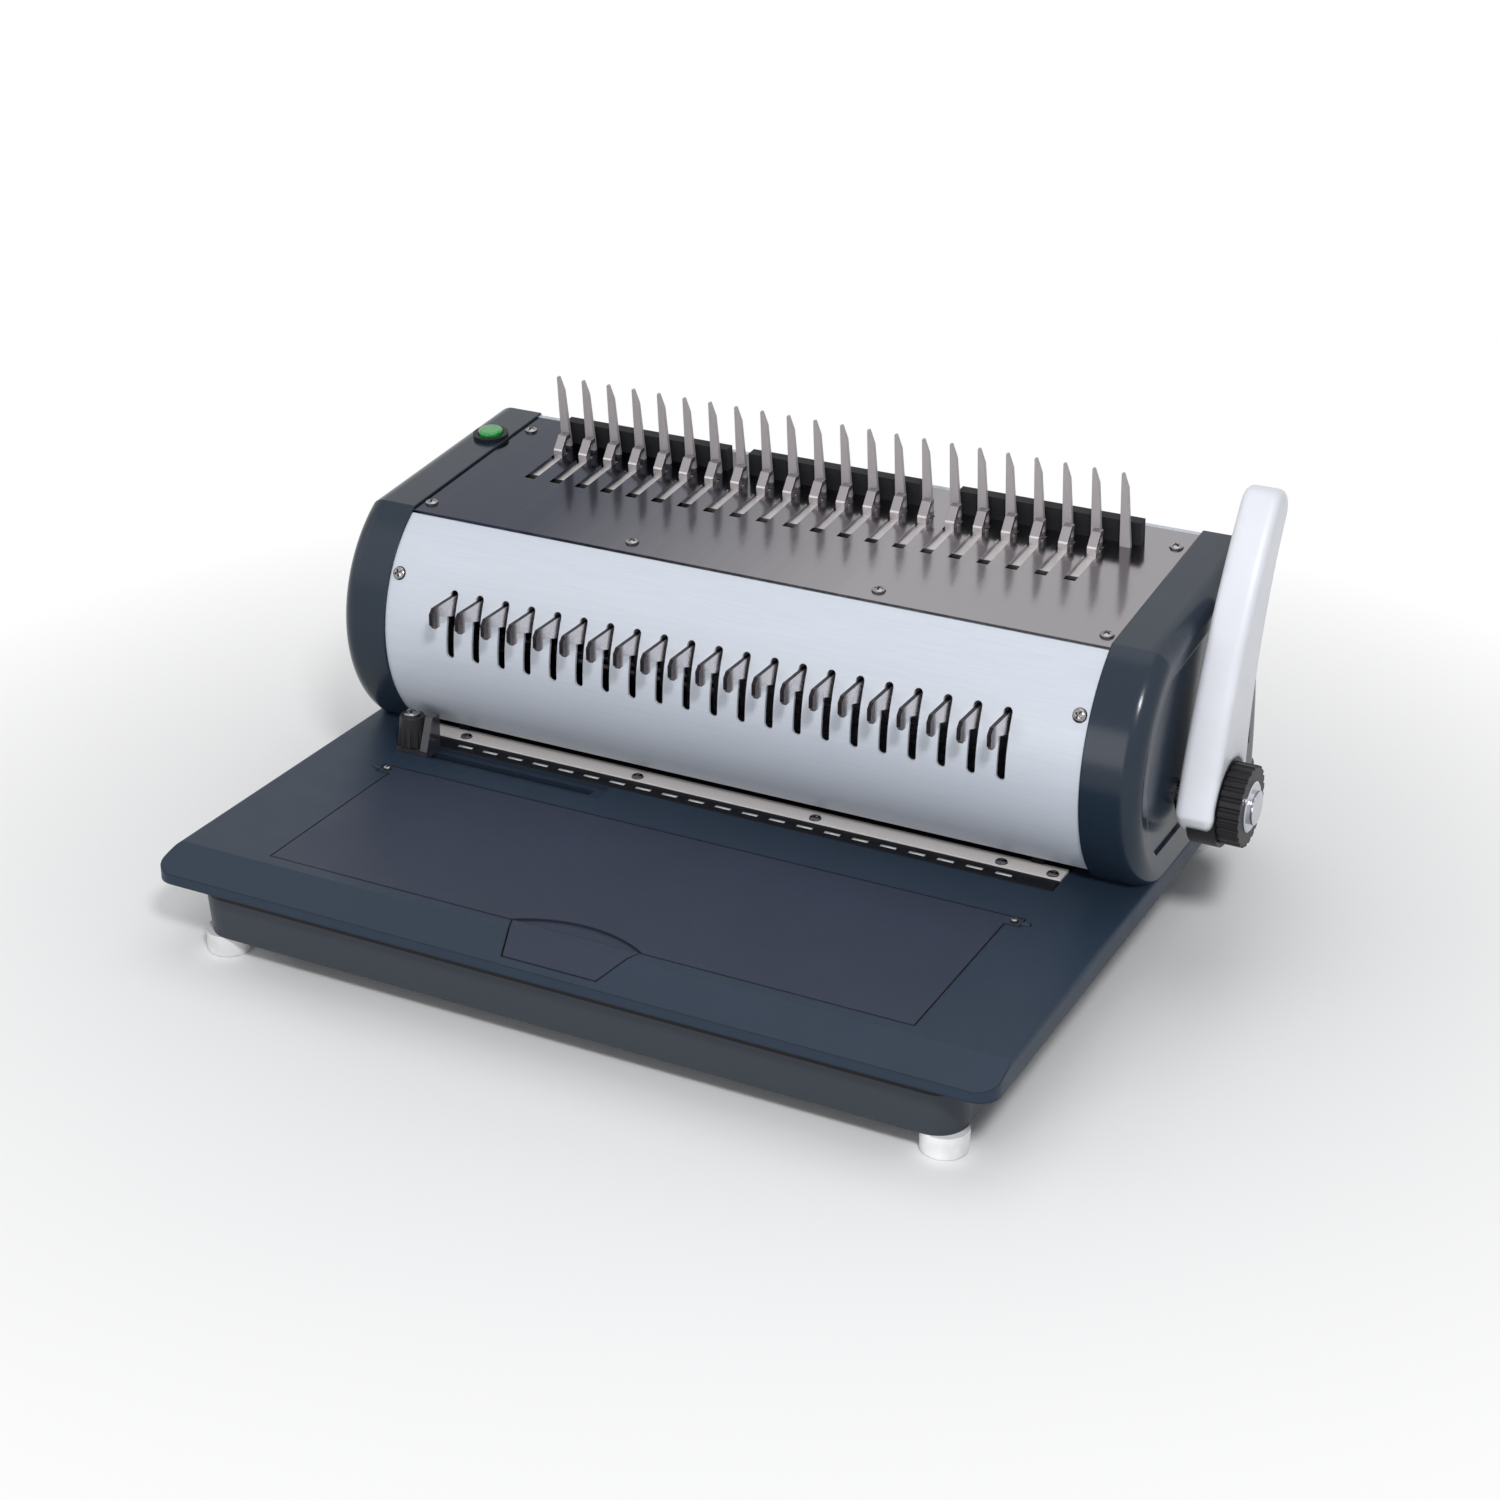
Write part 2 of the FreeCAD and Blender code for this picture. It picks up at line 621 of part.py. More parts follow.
def top_deck():
    y0 = SHAFT_Y + slope_to_circle(DECK_UNDER, FRONT_C_Y, FRONT_C_Z, FRONT_R, -1) + DECK_SETBACK
    deck = box(-PANEL_HALF, PANEL_HALF, y0, SHAFT_Y + BACK_TOP - BACK_FOLD, DECK_UNDER, DECK_TOP)
    cuts = []
    # Each slot leaves room for the hook's stem over the whole travel
    slot_rear = SHAFT_Y + FINGER_Y - FINGER_T / 2 - HOOK_GAP + CLEAR
    slot_front = slot_rear - HOOK_LEAN - HOOK_STEM - OPENER_TRAVEL - 2 * CLEAR
    for x in finger_xs[:-1]:
        mid = x + HOOK_SHIFT
        cuts.append(box(mid - DECK_SLOT_W / 2, mid + DECK_SLOT_W / 2, slot_front, slot_rear,
                        DECK_UNDER - OVER, DECK_TOP + OVER))
    half_w, half_t = FINGER_W / 2 + FIT_GAP, FINGER_T / 2 + FIT_GAP
    for x in finger_xs:
        y = SHAFT_Y + FINGER_Y
        cuts.append(box(x - half_w, x + half_w, y - half_t, y + half_t, DECK_UNDER - OVER, DECK_TOP + OVER))
    return tilt(deck.cut(cuts))


def rear_panel():
    width = V(2 * PANEL_HALF, 0, 0)
    outer = Part.Face(housing_wire(CAP_PROUD, TRAY_TOP, -PANEL_HALF)).extrude(width)
    inner = Part.Face(housing_wire(CAP_PROUD + PANEL_T, TRAY_TOP - OVER, -PANEL_HALF)).extrude(width)
    # Its top edge is square to the deck sheet that it meets
    reach = 2 * BACK_FOOT_Y
    back = tilt(box(-PANEL_HALF, PANEL_HALF, SHAFT_Y + BACK_TOP - BACK_FOLD, reach, -reach, reach))
    sheet = outer.cut(inner).common(back)
    return sheet.cut([back_opening(INLET_X, INLET_W, INLET_H), back_opening(SWITCH_X, SWITCH_W, SWITCH_H)])


def back_opening(x, w, h):
    """Cut-out of the bowed back for an insert of this width and height."""
    return box(x - w / 2, x + w / 2, BACK_MID_Y - INLET_D, 2 * BACK_FOOT_Y, INLET_Z - h / 2, INLET_Z + h / 2)


def behind_rear_panel():
    """The housing's inside and its back sheet, to fit flanges onto the bowed back."""
    return Part.Face(housing_wire(CAP_PROUD, TRAY_TOP - OVER, -PANEL_HALF)).extrude(V(2 * PANEL_HALF, 0, 0))


def power_inlet():
    front = BACK_FOOT_Y - INLET_D
    w, h = INLET_W / 2, INLET_H / 2
    body = box(INLET_X - w, INLET_X + w, front, INLET_FACE_Y, INLET_Z - h, INLET_Z + h)
    flange = box(INLET_X - w - FLANGE, INLET_X + w + FLANGE, BACK_MID_Y - OVER, INLET_FACE_Y,
                 INLET_Z - h - FLANGE, INLET_Z + h + FLANGE).cut(behind_rear_panel())
    w, h = w - INLET_WALL, h - INLET_WALL
    floor = INLET_FACE_Y - INLET_CAVITY
    cavity = box(INLET_X - w, INLET_X + w, floor, INLET_FACE_Y + OVER, INLET_Z - h, INLET_Z + h)
    blades = []
    for x, z in ((-BLADE_GAP, -BLADE_H / 2), (0, BLADE_H / 2), (BLADE_GAP, -BLADE_H / 2)):
        x, z = x + INLET_X, z + INLET_Z
        blades.append(box(x - BLADE_W / 2, x + BLADE_W / 2, floor, INLET_FACE_Y - INLET_WALL,
                          z - BLADE_H / 2, z + BLADE_H / 2))
    return body.fuse(flange).cut(cavity).fuse(blades).removeSplitter()


def switch_frame():
    front = BACK_FOOT_Y - SWITCH_D
    w, h = SWITCH_W / 2, SWITCH_H / 2
    body = box(SWITCH_X - w, SWITCH_X + w, front, INLET_FACE_Y, INLET_Z - h, INLET_Z + h)
    flange = box(SWITCH_X - w - FLANGE, SWITCH_X + w + FLANGE, BACK_MID_Y - OVER, INLET_FACE_Y,
                 INLET_Z - h - FLANGE, INLET_Z + h + FLANGE).cut(behind_rear_panel())
    w, h = w - SWITCH_WALL, h - SWITCH_WALL
    cavity = box(SWITCH_X - w, SWITCH_X + w, front + SWITCH_WALL, INLET_FACE_Y + OVER,
                 INLET_Z - h, INLET_Z + h)
    pins = rod_x(ROCKER_PIN_R + SHAFT_GAP, SWITCH_X - w - OVER, SWITCH_X + w + OVER, rocker_y(), INLET_Z)
    return body.fuse(flange).cut([cavity, pins]).removeSplitter()


def rocker_y():
    return INLET_FACE_Y - SWITCH_D / 2


def power_rocker():
    """Paddle with its pivot pins, resting with its lower half pressed in."""
    w = SWITCH_W / 2 - SWITCH_WALL
    reach = SWITCH_H / 2 - SWITCH_WALL - 2 * CLEAR
    face = INLET_FACE_Y - CLEAR - rocker_y()
    rise = reach * math.tan(math.radians(ROCKER_ROCK))
    body = prism_x([(0, -ROCKER_PIN_R * 2), (face - rise, -reach + rise), (face - rise / 2, 0),
                    (face - rise, reach - rise), (0, ROCKER_PIN_R * 2)],
                   SWITCH_X - w + CLEAR, SWITCH_X + w - CLEAR)
    body.translate(V(0, rocker_y(), INLET_Z))
    barrel = rod_x(2 * ROCKER_PIN_R, SWITCH_X - w + CLEAR, SWITCH_X + w - CLEAR, rocker_y(), INLET_Z)
    pins = rod_x(ROCKER_PIN_R, SWITCH_X - w - 0.8, SWITCH_X + w + 0.8, rocker_y(), INLET_Z)
    rocker = body.fuse([barrel, pins]).removeSplitter()
    rocker.rotate(V(0, rocker_y(), INLET_Z), V(1, 0, 0), -ROCKER_ROCK)
    return rocker


def cap_shell():
    """Right-hand end cap: rounded shell, open towards the machine, with a sunk side field."""
    def drum(radius, y, z, x_out, edge_r):
        body = rod_x(radius, PANEL_HALF, x_out, y, z)
        rim = [e for e in body.Edges if e.Closed and e.BoundBox.XMin > x_out - EDGE_TOL]
        return body.makeFillet(edge_r, rim)

    def solid(inset, x_out, edge_r, foot_z):
        """Front drum, sloping slab and back drum, each with its outer rim rounded."""
        reach = 2 * BACK_FOOT_Y
        front = drum(FRONT_R + CAP_PROUD - inset, FRONT_C_Y, FRONT_C_Z, x_out, edge_r)
        front = front.fuse(box(PANEL_HALF, x_out, FRONT_C_Y, reach, foot_z, reach))
        top = DECK_TOP + CAP_PROUD - inset
        slab = box(PANEL_HALF, x_out, -reach, reach, -reach, top)
        outer = [e for e in slab.Edges if e.BoundBox.XMin > x_out - EDGE_TOL]
        ridge = [e for e in outer if e.BoundBox.ZMin > top - EDGE_TOL]
        back = back_arc(inset)
        heel = drum(back.Radius, back.Center.y, back.Center.z, x_out, edge_r)
        lower = box(PANEL_HALF, x_out, -reach, reach, foot_z, reach)
        return front.common(tilt(slab.makeFillet(edge_r, ridge))).common(heel).common(lower)

    shell = solid(0, CAP_OUT, CAP_EDGE_R, TRAY_TOP)
    hollow = solid(CAP_WALL, CAP_OUT - CAP_WALL, CAP_EDGE_R - CAP_WALL, TRAY_TOP - OVER)
    field = Part.Face(housing_wire(FIELD_MARGIN, TRAY_TOP + FIELD_MARGIN, CAP_OUT - FIELD_DEPTH))
    return shell.cut([hollow, field.extrude(V(CAP_WALL, 0, 0))])


def right_end_cap():
    bore = rod_x(BUSH_R, PANEL_HALF, CAP_OUT + OVER, SHAFT_Y, SHAFT_Z)
    return cap_shell().cut(bore)


def left_end_cap():
    cap = cap_shell().mirror(V(0, 0, 0), V(1, 0, 0))
    y = SHAFT_Y + BUTTON_Y
    hole = tilt(rod_z(BEZEL_BODY_R + FIT_GAP, DECK_TOP - BEZEL_BODY_H, DECK_TOP + CAP_WALL, BUTTON_X, y))
    return cap.cut(hole)


def button_bezel():
    y = SHAFT_Y + BUTTON_Y
    top = DECK_TOP + CAP_PROUD
    ring = rod_z(BEZEL_R, top, top + BEZEL_PROUD, BUTTON_X, y)
    body = rod_z(BEZEL_BODY_R, top - BEZEL_BODY_H, top, BUTTON_X, y)
    well = rod_z(BUTTON_R + CLEAR, top - BEZEL_BODY_H / 2, top + BEZEL_PROUD + OVER, BUTTON_X, y)
    return tilt(ring.fuse(body).removeSplitter().cut(well))


def start_button():
    y = SHAFT_Y + BUTTON_Y
    top = DECK_TOP + CAP_PROUD + BUTTON_PROUD
    seat = DECK_TOP + CAP_PROUD - BEZEL_BODY_H / 2 + BUTTON_TRAVEL + CLEAR
    button = rod_z(BUTTON_R, seat, top, BUTTON_X, y)
    rim = [e for e in button.Edges if e.BoundBox.ZMin > top - EDGE_TOL and e.Closed]
    return tilt(button.makeFillet(BUTTON_DOME, rim))


def side_frame():
    """Right-hand steel side plate that carries both shafts."""
    inset = CAP_PROUD + PANEL_T + SIDE_GAP
    plate = Part.Face(housing_wire(inset, TRAY_TOP, SIDE_X)).extrude(V(SIDE_T, 0, 0))
    x0, x1 = SIDE_X - OVER, SIDE_X + SIDE_T + OVER
    throat = box(x0, x1, -FRONT_R, DIE_FRONT + DIE_DEPTH + CLEAR, 0, GUIDE_BAR_Z + GUIDE_BAR_T)
    bores = [rod_x(BUSH_R, x0, x1, SHAFT_Y, SHAFT_Z), rod_x(CAM_SHAFT_R + SHAFT_GAP, x0, x1, CAM_Y, CAM_Z)]
    return plate.cut([throat, above_deck()] + bores)


def shaft_bush():
    """Right-hand flanged bush of the opener shaft."""
    sleeve = rod_x(BUSH_R, SIDE_X, SIDE_X + SIDE_T, SHAFT_Y, SHAFT_Z)
    flange = rod_x(BUSH_FLANGE_R, SIDE_X - BUSH_FLANGE_T, SIDE_X, SHAFT_Y, SHAFT_Z)
    bore = rod_x(SHAFT_R + SHAFT_GAP, SIDE_X - BUSH_FLANGE_T - OVER, SIDE_X + SIDE_T + OVER, SHAFT_Y, SHAFT_Z)
    return sleeve.fuse(flange).removeSplitter().cut(bore)


def opener_rail():
    """Right-hand rail on the side plate that the carriage lips run on."""
    y0 = SHAFT_Y + UPRIGHT_FRONT - OPENER_TRAVEL - CLEAR
    y1 = SHAFT_Y + UPRIGHT_FRONT + UPRIGHT_D
    z0 = SHAFT_Z + RAIL_Z
    return tilt(box(SIDE_X - RAIL_W, SIDE_X, y0, y1, z0, z0 + RAIL_H))


def mirrored_pair(shape):
    return Part.makeCompound([shape, shape.mirror(V(0, 0, 0), V(1, 0, 0))])


def finger_comb():
    y = SHAFT_Y + FINGER_Y
    y0, y1 = y - FINGER_T / 2, y + FINGER_T / 2
    flange = box(finger_xs[0] - FINGER_W, finger_xs[-1] + FINGER_W, y0, y0 + FINGER_FLANGE,
                 DECK_UNDER - FINGER_T, DECK_UNDER)
    fingers = []
    neck = DECK_TOP + FINGER_H - FINGER_POINT
    for x in finger_xs:
        left = x - FINGER_W / 2
        ring = [V(left + dx, y0, z) for dx, z in (
            (0, DECK_UNDER), (FINGER_W, DECK_UNDER), (FINGER_W, DECK_TOP), (FINGER_TOP_W, neck),
            (FINGER_TIP_W, DECK_TOP + FINGER_H), (0, DECK_TOP + FINGER_H))]
        fingers.append(Part.Face(Part.makePolygon(ring + ring[:1])).extrude(V(0, y1 - y0, 0)))
    return tilt(flange.fuse(fingers).removeSplitter())


def comb_pads():
    y0 = SHAFT_Y + FINGER_Y + FINGER_T / 2 + PAD_GAP
    pads = [box(x, x + PAD_LEN, y0, y0 + PAD_D, DECK_TOP, DECK_TOP + PAD_H) for x in PAD_LEFTS]
    return tilt(Part.makeCompound(pads))


def involute_gear(teeth, module, width):
    """Spur gear about X with its axis at the origin, a tooth space pointing up."""
    pitch_r = module * teeth / 2
    base_r = pitch_r * math.cos(math.radians(PRESSURE))
    tip_r, root_r = pitch_r + module, pitch_r - 1.25 * module

    def inv(r):
        return math.sqrt(max((r / base_r) ** 2 - 1, 0)) - math.acos(min(base_r / r, 1))

    half = math.pi / (2 * teeth) - BACKLASH / (2 * pitch_r) + inv(pitch_r)
    radii = [base_r + (tip_r - base_r) * i / 4 for i in range(5)]
    flank = [(root_r, half)] + [(r, half - inv(r)) for r in radii]
    points = []
    for tooth in range(teeth):
        mid = 2 * math.pi * (tooth + 0.5) / teeth
        points += [(r, mid - a) for r, a in flank] + [(r, mid + a) for r, a in reversed(flank)]
    return prism_x([(r * math.sin(a), r * math.cos(a)) for r, a in points], -width / 2, width / 2)


def rack_bar(width):
    """Straight rack over a pinion centred at the origin, one tooth at the middle."""
    pitch, slant = math.pi * MODULE, math.tan(math.radians(PRESSURE))
    z = MODULE * PINION_TEETH / 2
    half = pitch / 4 - BACKLASH / 2
    root = z + 1.25 * MODULE
    teeth_from = round(RACK_FRONT / pitch)
    points = [(teeth_from * pitch - pitch / 2, root + RACK_BODY), (teeth_from * pitch - pitch / 2, root)]
    for i in range(teeth_from, teeth_from + RACK_TEETH):
        c = i * pitch
        points += [(c - half - 1.25 * MODULE * slant, root), (c - half + MODULE * slant, z - MODULE),
                   (c + half - MODULE * slant, z - MODULE), (c + half + 1.25 * MODULE * slant, root)]
    end = (teeth_from + RACK_TEETH) * pitch - pitch / 2
    points += [(end, root), (end, root + RACK_BODY)]
    return prism_x(points, -width / 2, width / 2)


def opener_pinions():
    gear = involute_gear(PINION_TEETH, MODULE, GEAR_W)
    gear = gear.cut(rod_x(SHAFT_R, -GEAR_W, GEAR_W, 0, 0))
    gear.rotate(V(0, 0, 0), V(1, 0, 0), DECK_SLOPE)
    pair = []
    for side in (-1, 1):
        one = gear.copy()
        one.translate(V(side * (CARRIAGE_X + UPRIGHT_T / 2), SHAFT_Y, SHAFT_Z))
        pair.append(one)
    return Part.makeCompound(pair)


def opener_carriage():
    """Hook plate under the deck, hung on two uprights that end in racks."""
    top = DECK_UNDER - CLEAR
    hook_rear = SHAFT_Y + FINGER_Y - FINGER_T / 2 - HOOK_GAP
    plate_front = hook_rear - PLATE_BACK
    out = CARRIAGE_X + UPRIGHT_T
    y0 = SHAFT_Y + UPRIGHT_FRONT
    parts = [box(-out, out, plate_front, hook_rear, top - PLATE_T, top)]
    for x in finger_xs[:-1]:
        mid = x + HOOK_SHIFT
        crest = DECK_TOP + HOOK_H
        knee = DECK_TOP + HOOK_KNEE
        bend = hook_rear - HOOK_STEM
        back, front = hook_rear - HOOK_LEAN, bend - HOOK_LEAN
        parts.append(prism_x([(back, top - PLATE_T), (back, knee), (bend, crest - HOOK_NOSE_T),
                              (hook_rear, crest - HOOK_NOSE_T), (hook_rear, crest), (bend, crest),
                              (front, knee), (front, top - PLATE_T)],
                             mid - HOOK_W / 2, mid + HOOK_W / 2))
    rack_z = SHAFT_Z + MODULE * PINION_TEETH / 2 + 1.25 * MODULE
    rail_z = SHAFT_Z + RAIL_Z
    for side in (-1, 1):
        xs = sorted((side * CARRIAGE_X, side * out))
        lips = sorted((side * out, side * (out + LIP_W)))
        parts.append(prism_x([(y0, rack_z), (y0 + UPRIGHT_D, rack_z), (y0 + UPRIGHT_D, top),
                              (y0 + UPRIGHT_SLANT, top), (y0, top - 2 * UPRIGHT_SLANT)], *xs))
        parts.append(box(*xs, y0 + UPRIGHT_SLANT, hook_rear, top - STRUT_H, top))
        parts.append(box(*lips, y0, y0 + UPRIGHT_D, rail_z + RAIL_H + CLEAR, rail_z + RAIL_H + CLEAR + LIP_T))
        parts.append(box(*lips, y0, y0 + UPRIGHT_D, rail_z - CLEAR - LIP_T, rail_z - CLEAR))
        rack = rack_bar(RACK_W)
        rack.translate(V(side * (CARRIAGE_X + UPRIGHT_T / 2), SHAFT_Y, SHAFT_Z))
        parts.append(rack)
    return tilt(parts[0].fuse(parts[1:]).removeSplitter())


def opener_shaft():
    return rod_x(SHAFT_R, -SIDE_X - SIDE_T, KNURL_OUT, SHAFT_Y, SHAFT_Z)


def handle():
    """White lever, swept back towards its top, with a seat for the hub in the outer side of its foot."""
    x0 = HANDLE_X
    top_y, top_z = SHAFT_Y + HANDLE_SWEEP, SHAFT_Z + HANDLE_LEN - HANDLE_TOP_R
    mid_y, mid_z = SHAFT_Y + HANDLE_SWEEP / 2 - HANDLE_BOW, (SHAFT_Z + top_z) / 2
    mid_half = (HANDLE_FOOT_R + HANDLE_TOP_R) / 2
    lean = math.atan2(2 * HANDLE_BOW + HANDLE_SWEEP / 2, top_z - mid_z)
    across = (math.cos(lean), -math.sin(lean))
    tip = (math.sin(lean), math.cos(lean))
    front_top = (top_y - HANDLE_TOP_R * across[0], top_z - HANDLE_TOP_R * across[1])
    back_top = (top_y + HANDLE_TOP_R * across[0], top_z + HANDLE_TOP_R * across[1])
    crown = (top_y + HANDLE_TOP_R * tip[0], top_z + HANDLE_TOP_R * tip[1])
    front_foot, back_foot = (SHAFT_Y - HANDLE_FOOT_R, SHAFT_Z), (SHAFT_Y + HANDLE_FOOT_R, SHAFT_Z)
    wire = Part.Wire([
        arc_yz(x0, front_foot, (mid_y - mid_half, mid_z), front_top),
        arc_yz(x0, front_top, crown, back_top),
        arc_yz(x0, back_top, (mid_y + mid_half, mid_z), back_foot),
        arc_yz(x0, back_foot, (SHAFT_Y, SHAFT_Z - HUB_DROP), front_foot),
    ])
    lever = Part.Face(wire).extrude(V(HANDLE_W, 0, 0))
    lever = lever.makeFillet(HANDLE_EDGE_R, [e for e in lever.Edges if e.BoundBox.XLength < EDGE_TOL])
    seat = rod_x(HUB_R + FIT_GAP, HANDLE_X + HANDLE_CHEEK, HUB_OUT, SHAFT_Y, SHAFT_Z)
    bore = rod_x(SHAFT_R, HANDLE_X - OVER, HUB_OUT, SHAFT_Y, SHAFT_Z)
    return lever.cut([seat, bore])


def handle_hub():
    disc = rod_x(HUB_R, HANDLE_X + HANDLE_CHEEK, HANDLE_X + HANDLE_W, SHAFT_Y, SHAFT_Z)
    return disc.cut(rod_x(SHAFT_R, HANDLE_X, HUB_OUT, SHAFT_Y, SHAFT_Z))


def hub_knob():
    knob = rod_x(KNURL_R, HUB_OUT, KNURL_OUT, SHAFT_Y, SHAFT_Z)
    grooves = []
    for i in range(KNURL_RIDGES):
        a = 2 * math.pi * i / KNURL_RIDGES
        grooves.append(rod_x(KNURL_DEPTH, HUB_OUT - OVER, KNURL_OUT + OVER,
                             SHAFT_Y + KNURL_R * math.cos(a), SHAFT_Z + KNURL_R * math.sin(a)))
    return knob.cut(grooves + [rod_x(SHAFT_R, HUB_OUT - OVER, KNURL_OUT + OVER, SHAFT_Y, SHAFT_Z)])


def hub_cap():
    return rod_x(HUB_CAP_R, KNURL_OUT, KNURL_OUT + HUB_CAP_W, SHAFT_Y, SHAFT_Z)


def pull_plate(x):
    """Pull of one pin: it sits over the pin's head and hooks out through the panel slot."""
    top, bottom = PULL_TOP, PULL_TOP - PULL_H + CLEAR
    tail = PIN_Y - PIN_D / 2 + PULL_TRAVEL - CLEAR
    tip, low = -PULL_REACH, top - PULL_NOSE
    nose = tip + PULL_NOSE_D
    outline = [(tail, bottom), (tail, top), (tip + PULL_CORNER, top), (tip, top - PULL_CORNER),
               (tip, low + PULL_CORNER), (tip + PULL_CORNER, low), (nose, low), (nose, top - PULL_NECK),
               (-PULL_ROOT, bottom)]
    return prism_x(outline, x - PULL_T / 2, x + PULL_T / 2)


def punch_pins():
    return Part.makeCompound([box(x - PIN_W / 2, x + PIN_W / 2, PIN_Y - PIN_D / 2, PIN_Y + PIN_D / 2,
                                  PIN_TIP, BAR_BOTTOM + PIN_SEAT) for x in hole_xs])


def punch_bar():
    """Bar with pin seats, pull channels, post bores and two rear arms for the followers."""
    y1 = BAR_FRONT + BAR_D
    bar = box(-BAR_HALF, BAR_HALF, BAR_FRONT, y1, BAR_BOTTOM, BAR_BOTTOM + BAR_H)
    arms = []
    for side in (-1, 1):
        x = sorted((side * ARM_X, side * (ARM_X + ARM_T)))
        arms.append(box(*x, y1 - BAR_D / 4, CAM_Y + ARM_TAIL, FOLLOWER_Z - ARM_H / 2, FOLLOWER_Z + ARM_H / 2))
        arms.append(box(*x, y1 - BAR_D / 4, y1, FOLLOWER_Z - ARM_H / 2, BAR_BOTTOM))
    cuts = pin_holes(FIT_GAP, BAR_BOTTOM - OVER, BAR_BOTTOM + PIN_SEAT)
    cuts += [rod_x(FOLLOWER_PIN_R, x, x + ARM_T, CAM_Y, FOLLOWER_Z) for x in (-ARM_X - ARM_T, ARM_X)]
    half = PULL_T / 2 + FIT_GAP
    z0 = BAR_BOTTOM + PIN_SEAT
    tail = PIN_Y - PIN_D / 2 + PULL_TRAVEL
    cuts += [box(x - half, x + half, BAR_FRONT - OVER, tail, z0 - FIT_GAP, z0 + PULL_H + CLEAR)
             for x in hole_xs]
    bore_r, top = POST_R + SHAFT_GAP, BAR_BOTTOM + BAR_H + OVER
    cuts += [rod_z(bore_r, BAR_BOTTOM - OVER, top, x, POST_Y) for x in (-POST_X, POST_X)]
    return bar.fuse(arms).removeSplitter().cut(cuts)


def cam_follower():
    """Right-hand follower: a round head under the cam, on a pin in the bar's arm."""
    head = rod_x(FOLLOWER_R, CAM_X - CAM_W / 2, ARM_X, CAM_Y, FOLLOWER_Z)
    return head.fuse(rod_x(FOLLOWER_PIN_R, ARM_X, ARM_X + ARM_T, CAM_Y, FOLLOWER_Z)).removeSplitter()


def drive_cam():
    """Right-hand cam of constant rise: rest arc over the follower, rising edge, straight fall."""
    x0 = CAM_X - CAM_W / 2
    turn_all = math.radians(CAM_TURN)

    def rim(turn):
        """Follower's centre path seen from the cam, moved in square to itself by the follower's radius."""
        rho = CAM_MIN_R + FOLLOWER_R + CAM_RISE * turn
        size = math.hypot(rho, CAM_RISE)
        out, ahead = rho - FOLLOWER_R * rho / size, FOLLOWER_R * CAM_RISE / size
        a = -math.pi / 2 - turn
        c, d = math.cos(a), math.sin(a)
        return CAM_Y + out * c + ahead * d, CAM_Z + out * d - ahead * c

    def rest(turn):
        return CAM_Y - CAM_MIN_R * math.sin(turn), CAM_Z - CAM_MIN_R * math.cos(turn)

    # The fall leaves the highest point along a tangent to the rest circle
    dwell = 2 * math.pi - turn_all - math.acos(CAM_MIN_R / (CAM_MIN_R + STROKE))
    rise = Part.BSplineCurve()
    rise.interpolate([V(x0, *rim(turn_all * i / CAM_SPANS)) for i in range(CAM_SPANS + 1)])
    outline = Part.Wire([
        arc_yz(x0, rest(-dwell), rest(-dwell / 2), rest(0)),
        line_yz(x0, rest(0), rim(0)),
        rise.toShape(),
        line_yz(x0, rim(turn_all), rest(-dwell)),
    ])
    cam = Part.Face(outline).extrude(V(CAM_W, 0, 0))
    return cam.cut(rod_x(CAM_SHAFT_R, x0 - OVER, x0 + CAM_W + OVER, CAM_Y, CAM_Z))


def cam_shaft():
    return rod_x(CAM_SHAFT_R, -SIDE_X - SIDE_T, SIDE_X + SIDE_T, CAM_Y, CAM_Z)


def gearmotor():
    z0 = CAM_Z - GEARBOX_H / 2
    y0 = CAM_Y - GEARBOX_D / 2
    gearbox = box(-GEARBOX_HALF, GEARBOX_HALF, y0, y0 + GEARBOX_D, z0, z0 + GEARBOX_H)
    foot = box(-GEARBOX_HALF, GEARBOX_HALF, y0, y0 + GEARBOX_D, TRAY_TOP, z0)
    motor = rod_x(MOTOR_R, -GEARBOX_HALF, MOTOR_LEN - GEARBOX_HALF, CAM_Y + MOTOR_BACK, CAM_Z - MOTOR_DROP)
    hollow = rod_x(CAM_SHAFT_R + SHAFT_GAP, -GEARBOX_HALF - OVER, GEARBOX_HALF + OVER, CAM_Y, CAM_Z)
    return gearbox.fuse([foot, motor]).removeSplitter().cut(hollow)


def nodes():
    parts = {
        "feet": feet(),
        "lower_base": lower_base(),
        "base_tray": base_tray(),
        "bin_lid": bin_lid(),
        "edge_guide": edge_guide(),
        "guide_knob": guide_knob(),
        "die_plate": die_plate(),
        "scale_strip": scale_strip(),
        "stripper_bar": stripper_bar(),
        "guide_posts": guide_posts(),
        "front_panel": front_panel(),
        "top_deck": top_deck(),
        "rear_panel": rear_panel(),
        "right_end_cap": right_end_cap(),
        "left_end_cap": left_end_cap(),
        "button_bezel": button_bezel(),
        "start_button": start_button(),
        "power_inlet": power_inlet(),
        "switch_frame": switch_frame(),
        "power_rocker": power_rocker(),
        "right_side_frame": side_frame(),
        "left_side_frame": side_frame().mirror(V(0, 0, 0), V(1, 0, 0)),
        "shaft_bushes": mirrored_pair(shaft_bush()),
        "opener_rails": mirrored_pair(opener_rail()),
        "finger_comb": finger_comb(),
        "comb_pads": comb_pads(),
        "opener_pinions": opener_pinions(),
        "opener_carriage": opener_carriage(),
        "opener_shaft": opener_shaft(),
        "handle": handle(),
        "handle_hub": handle_hub(),
        "hub_knob": hub_knob(),
        "hub_cap": hub_cap(),
        "punch_bar": punch_bar(),
        "punch_pins": punch_pins(),
        "cam_followers": mirrored_pair(cam_follower()),
        "drive_cams": mirrored_pair(drive_cam()),
        "cam_shaft": cam_shaft(),
        "gearmotor": gearmotor(),
    }
    for i, x in enumerate(hole_xs):
        parts["pin_pull_%02d" % (i + 1)] = pull_plate(x)
    return parts


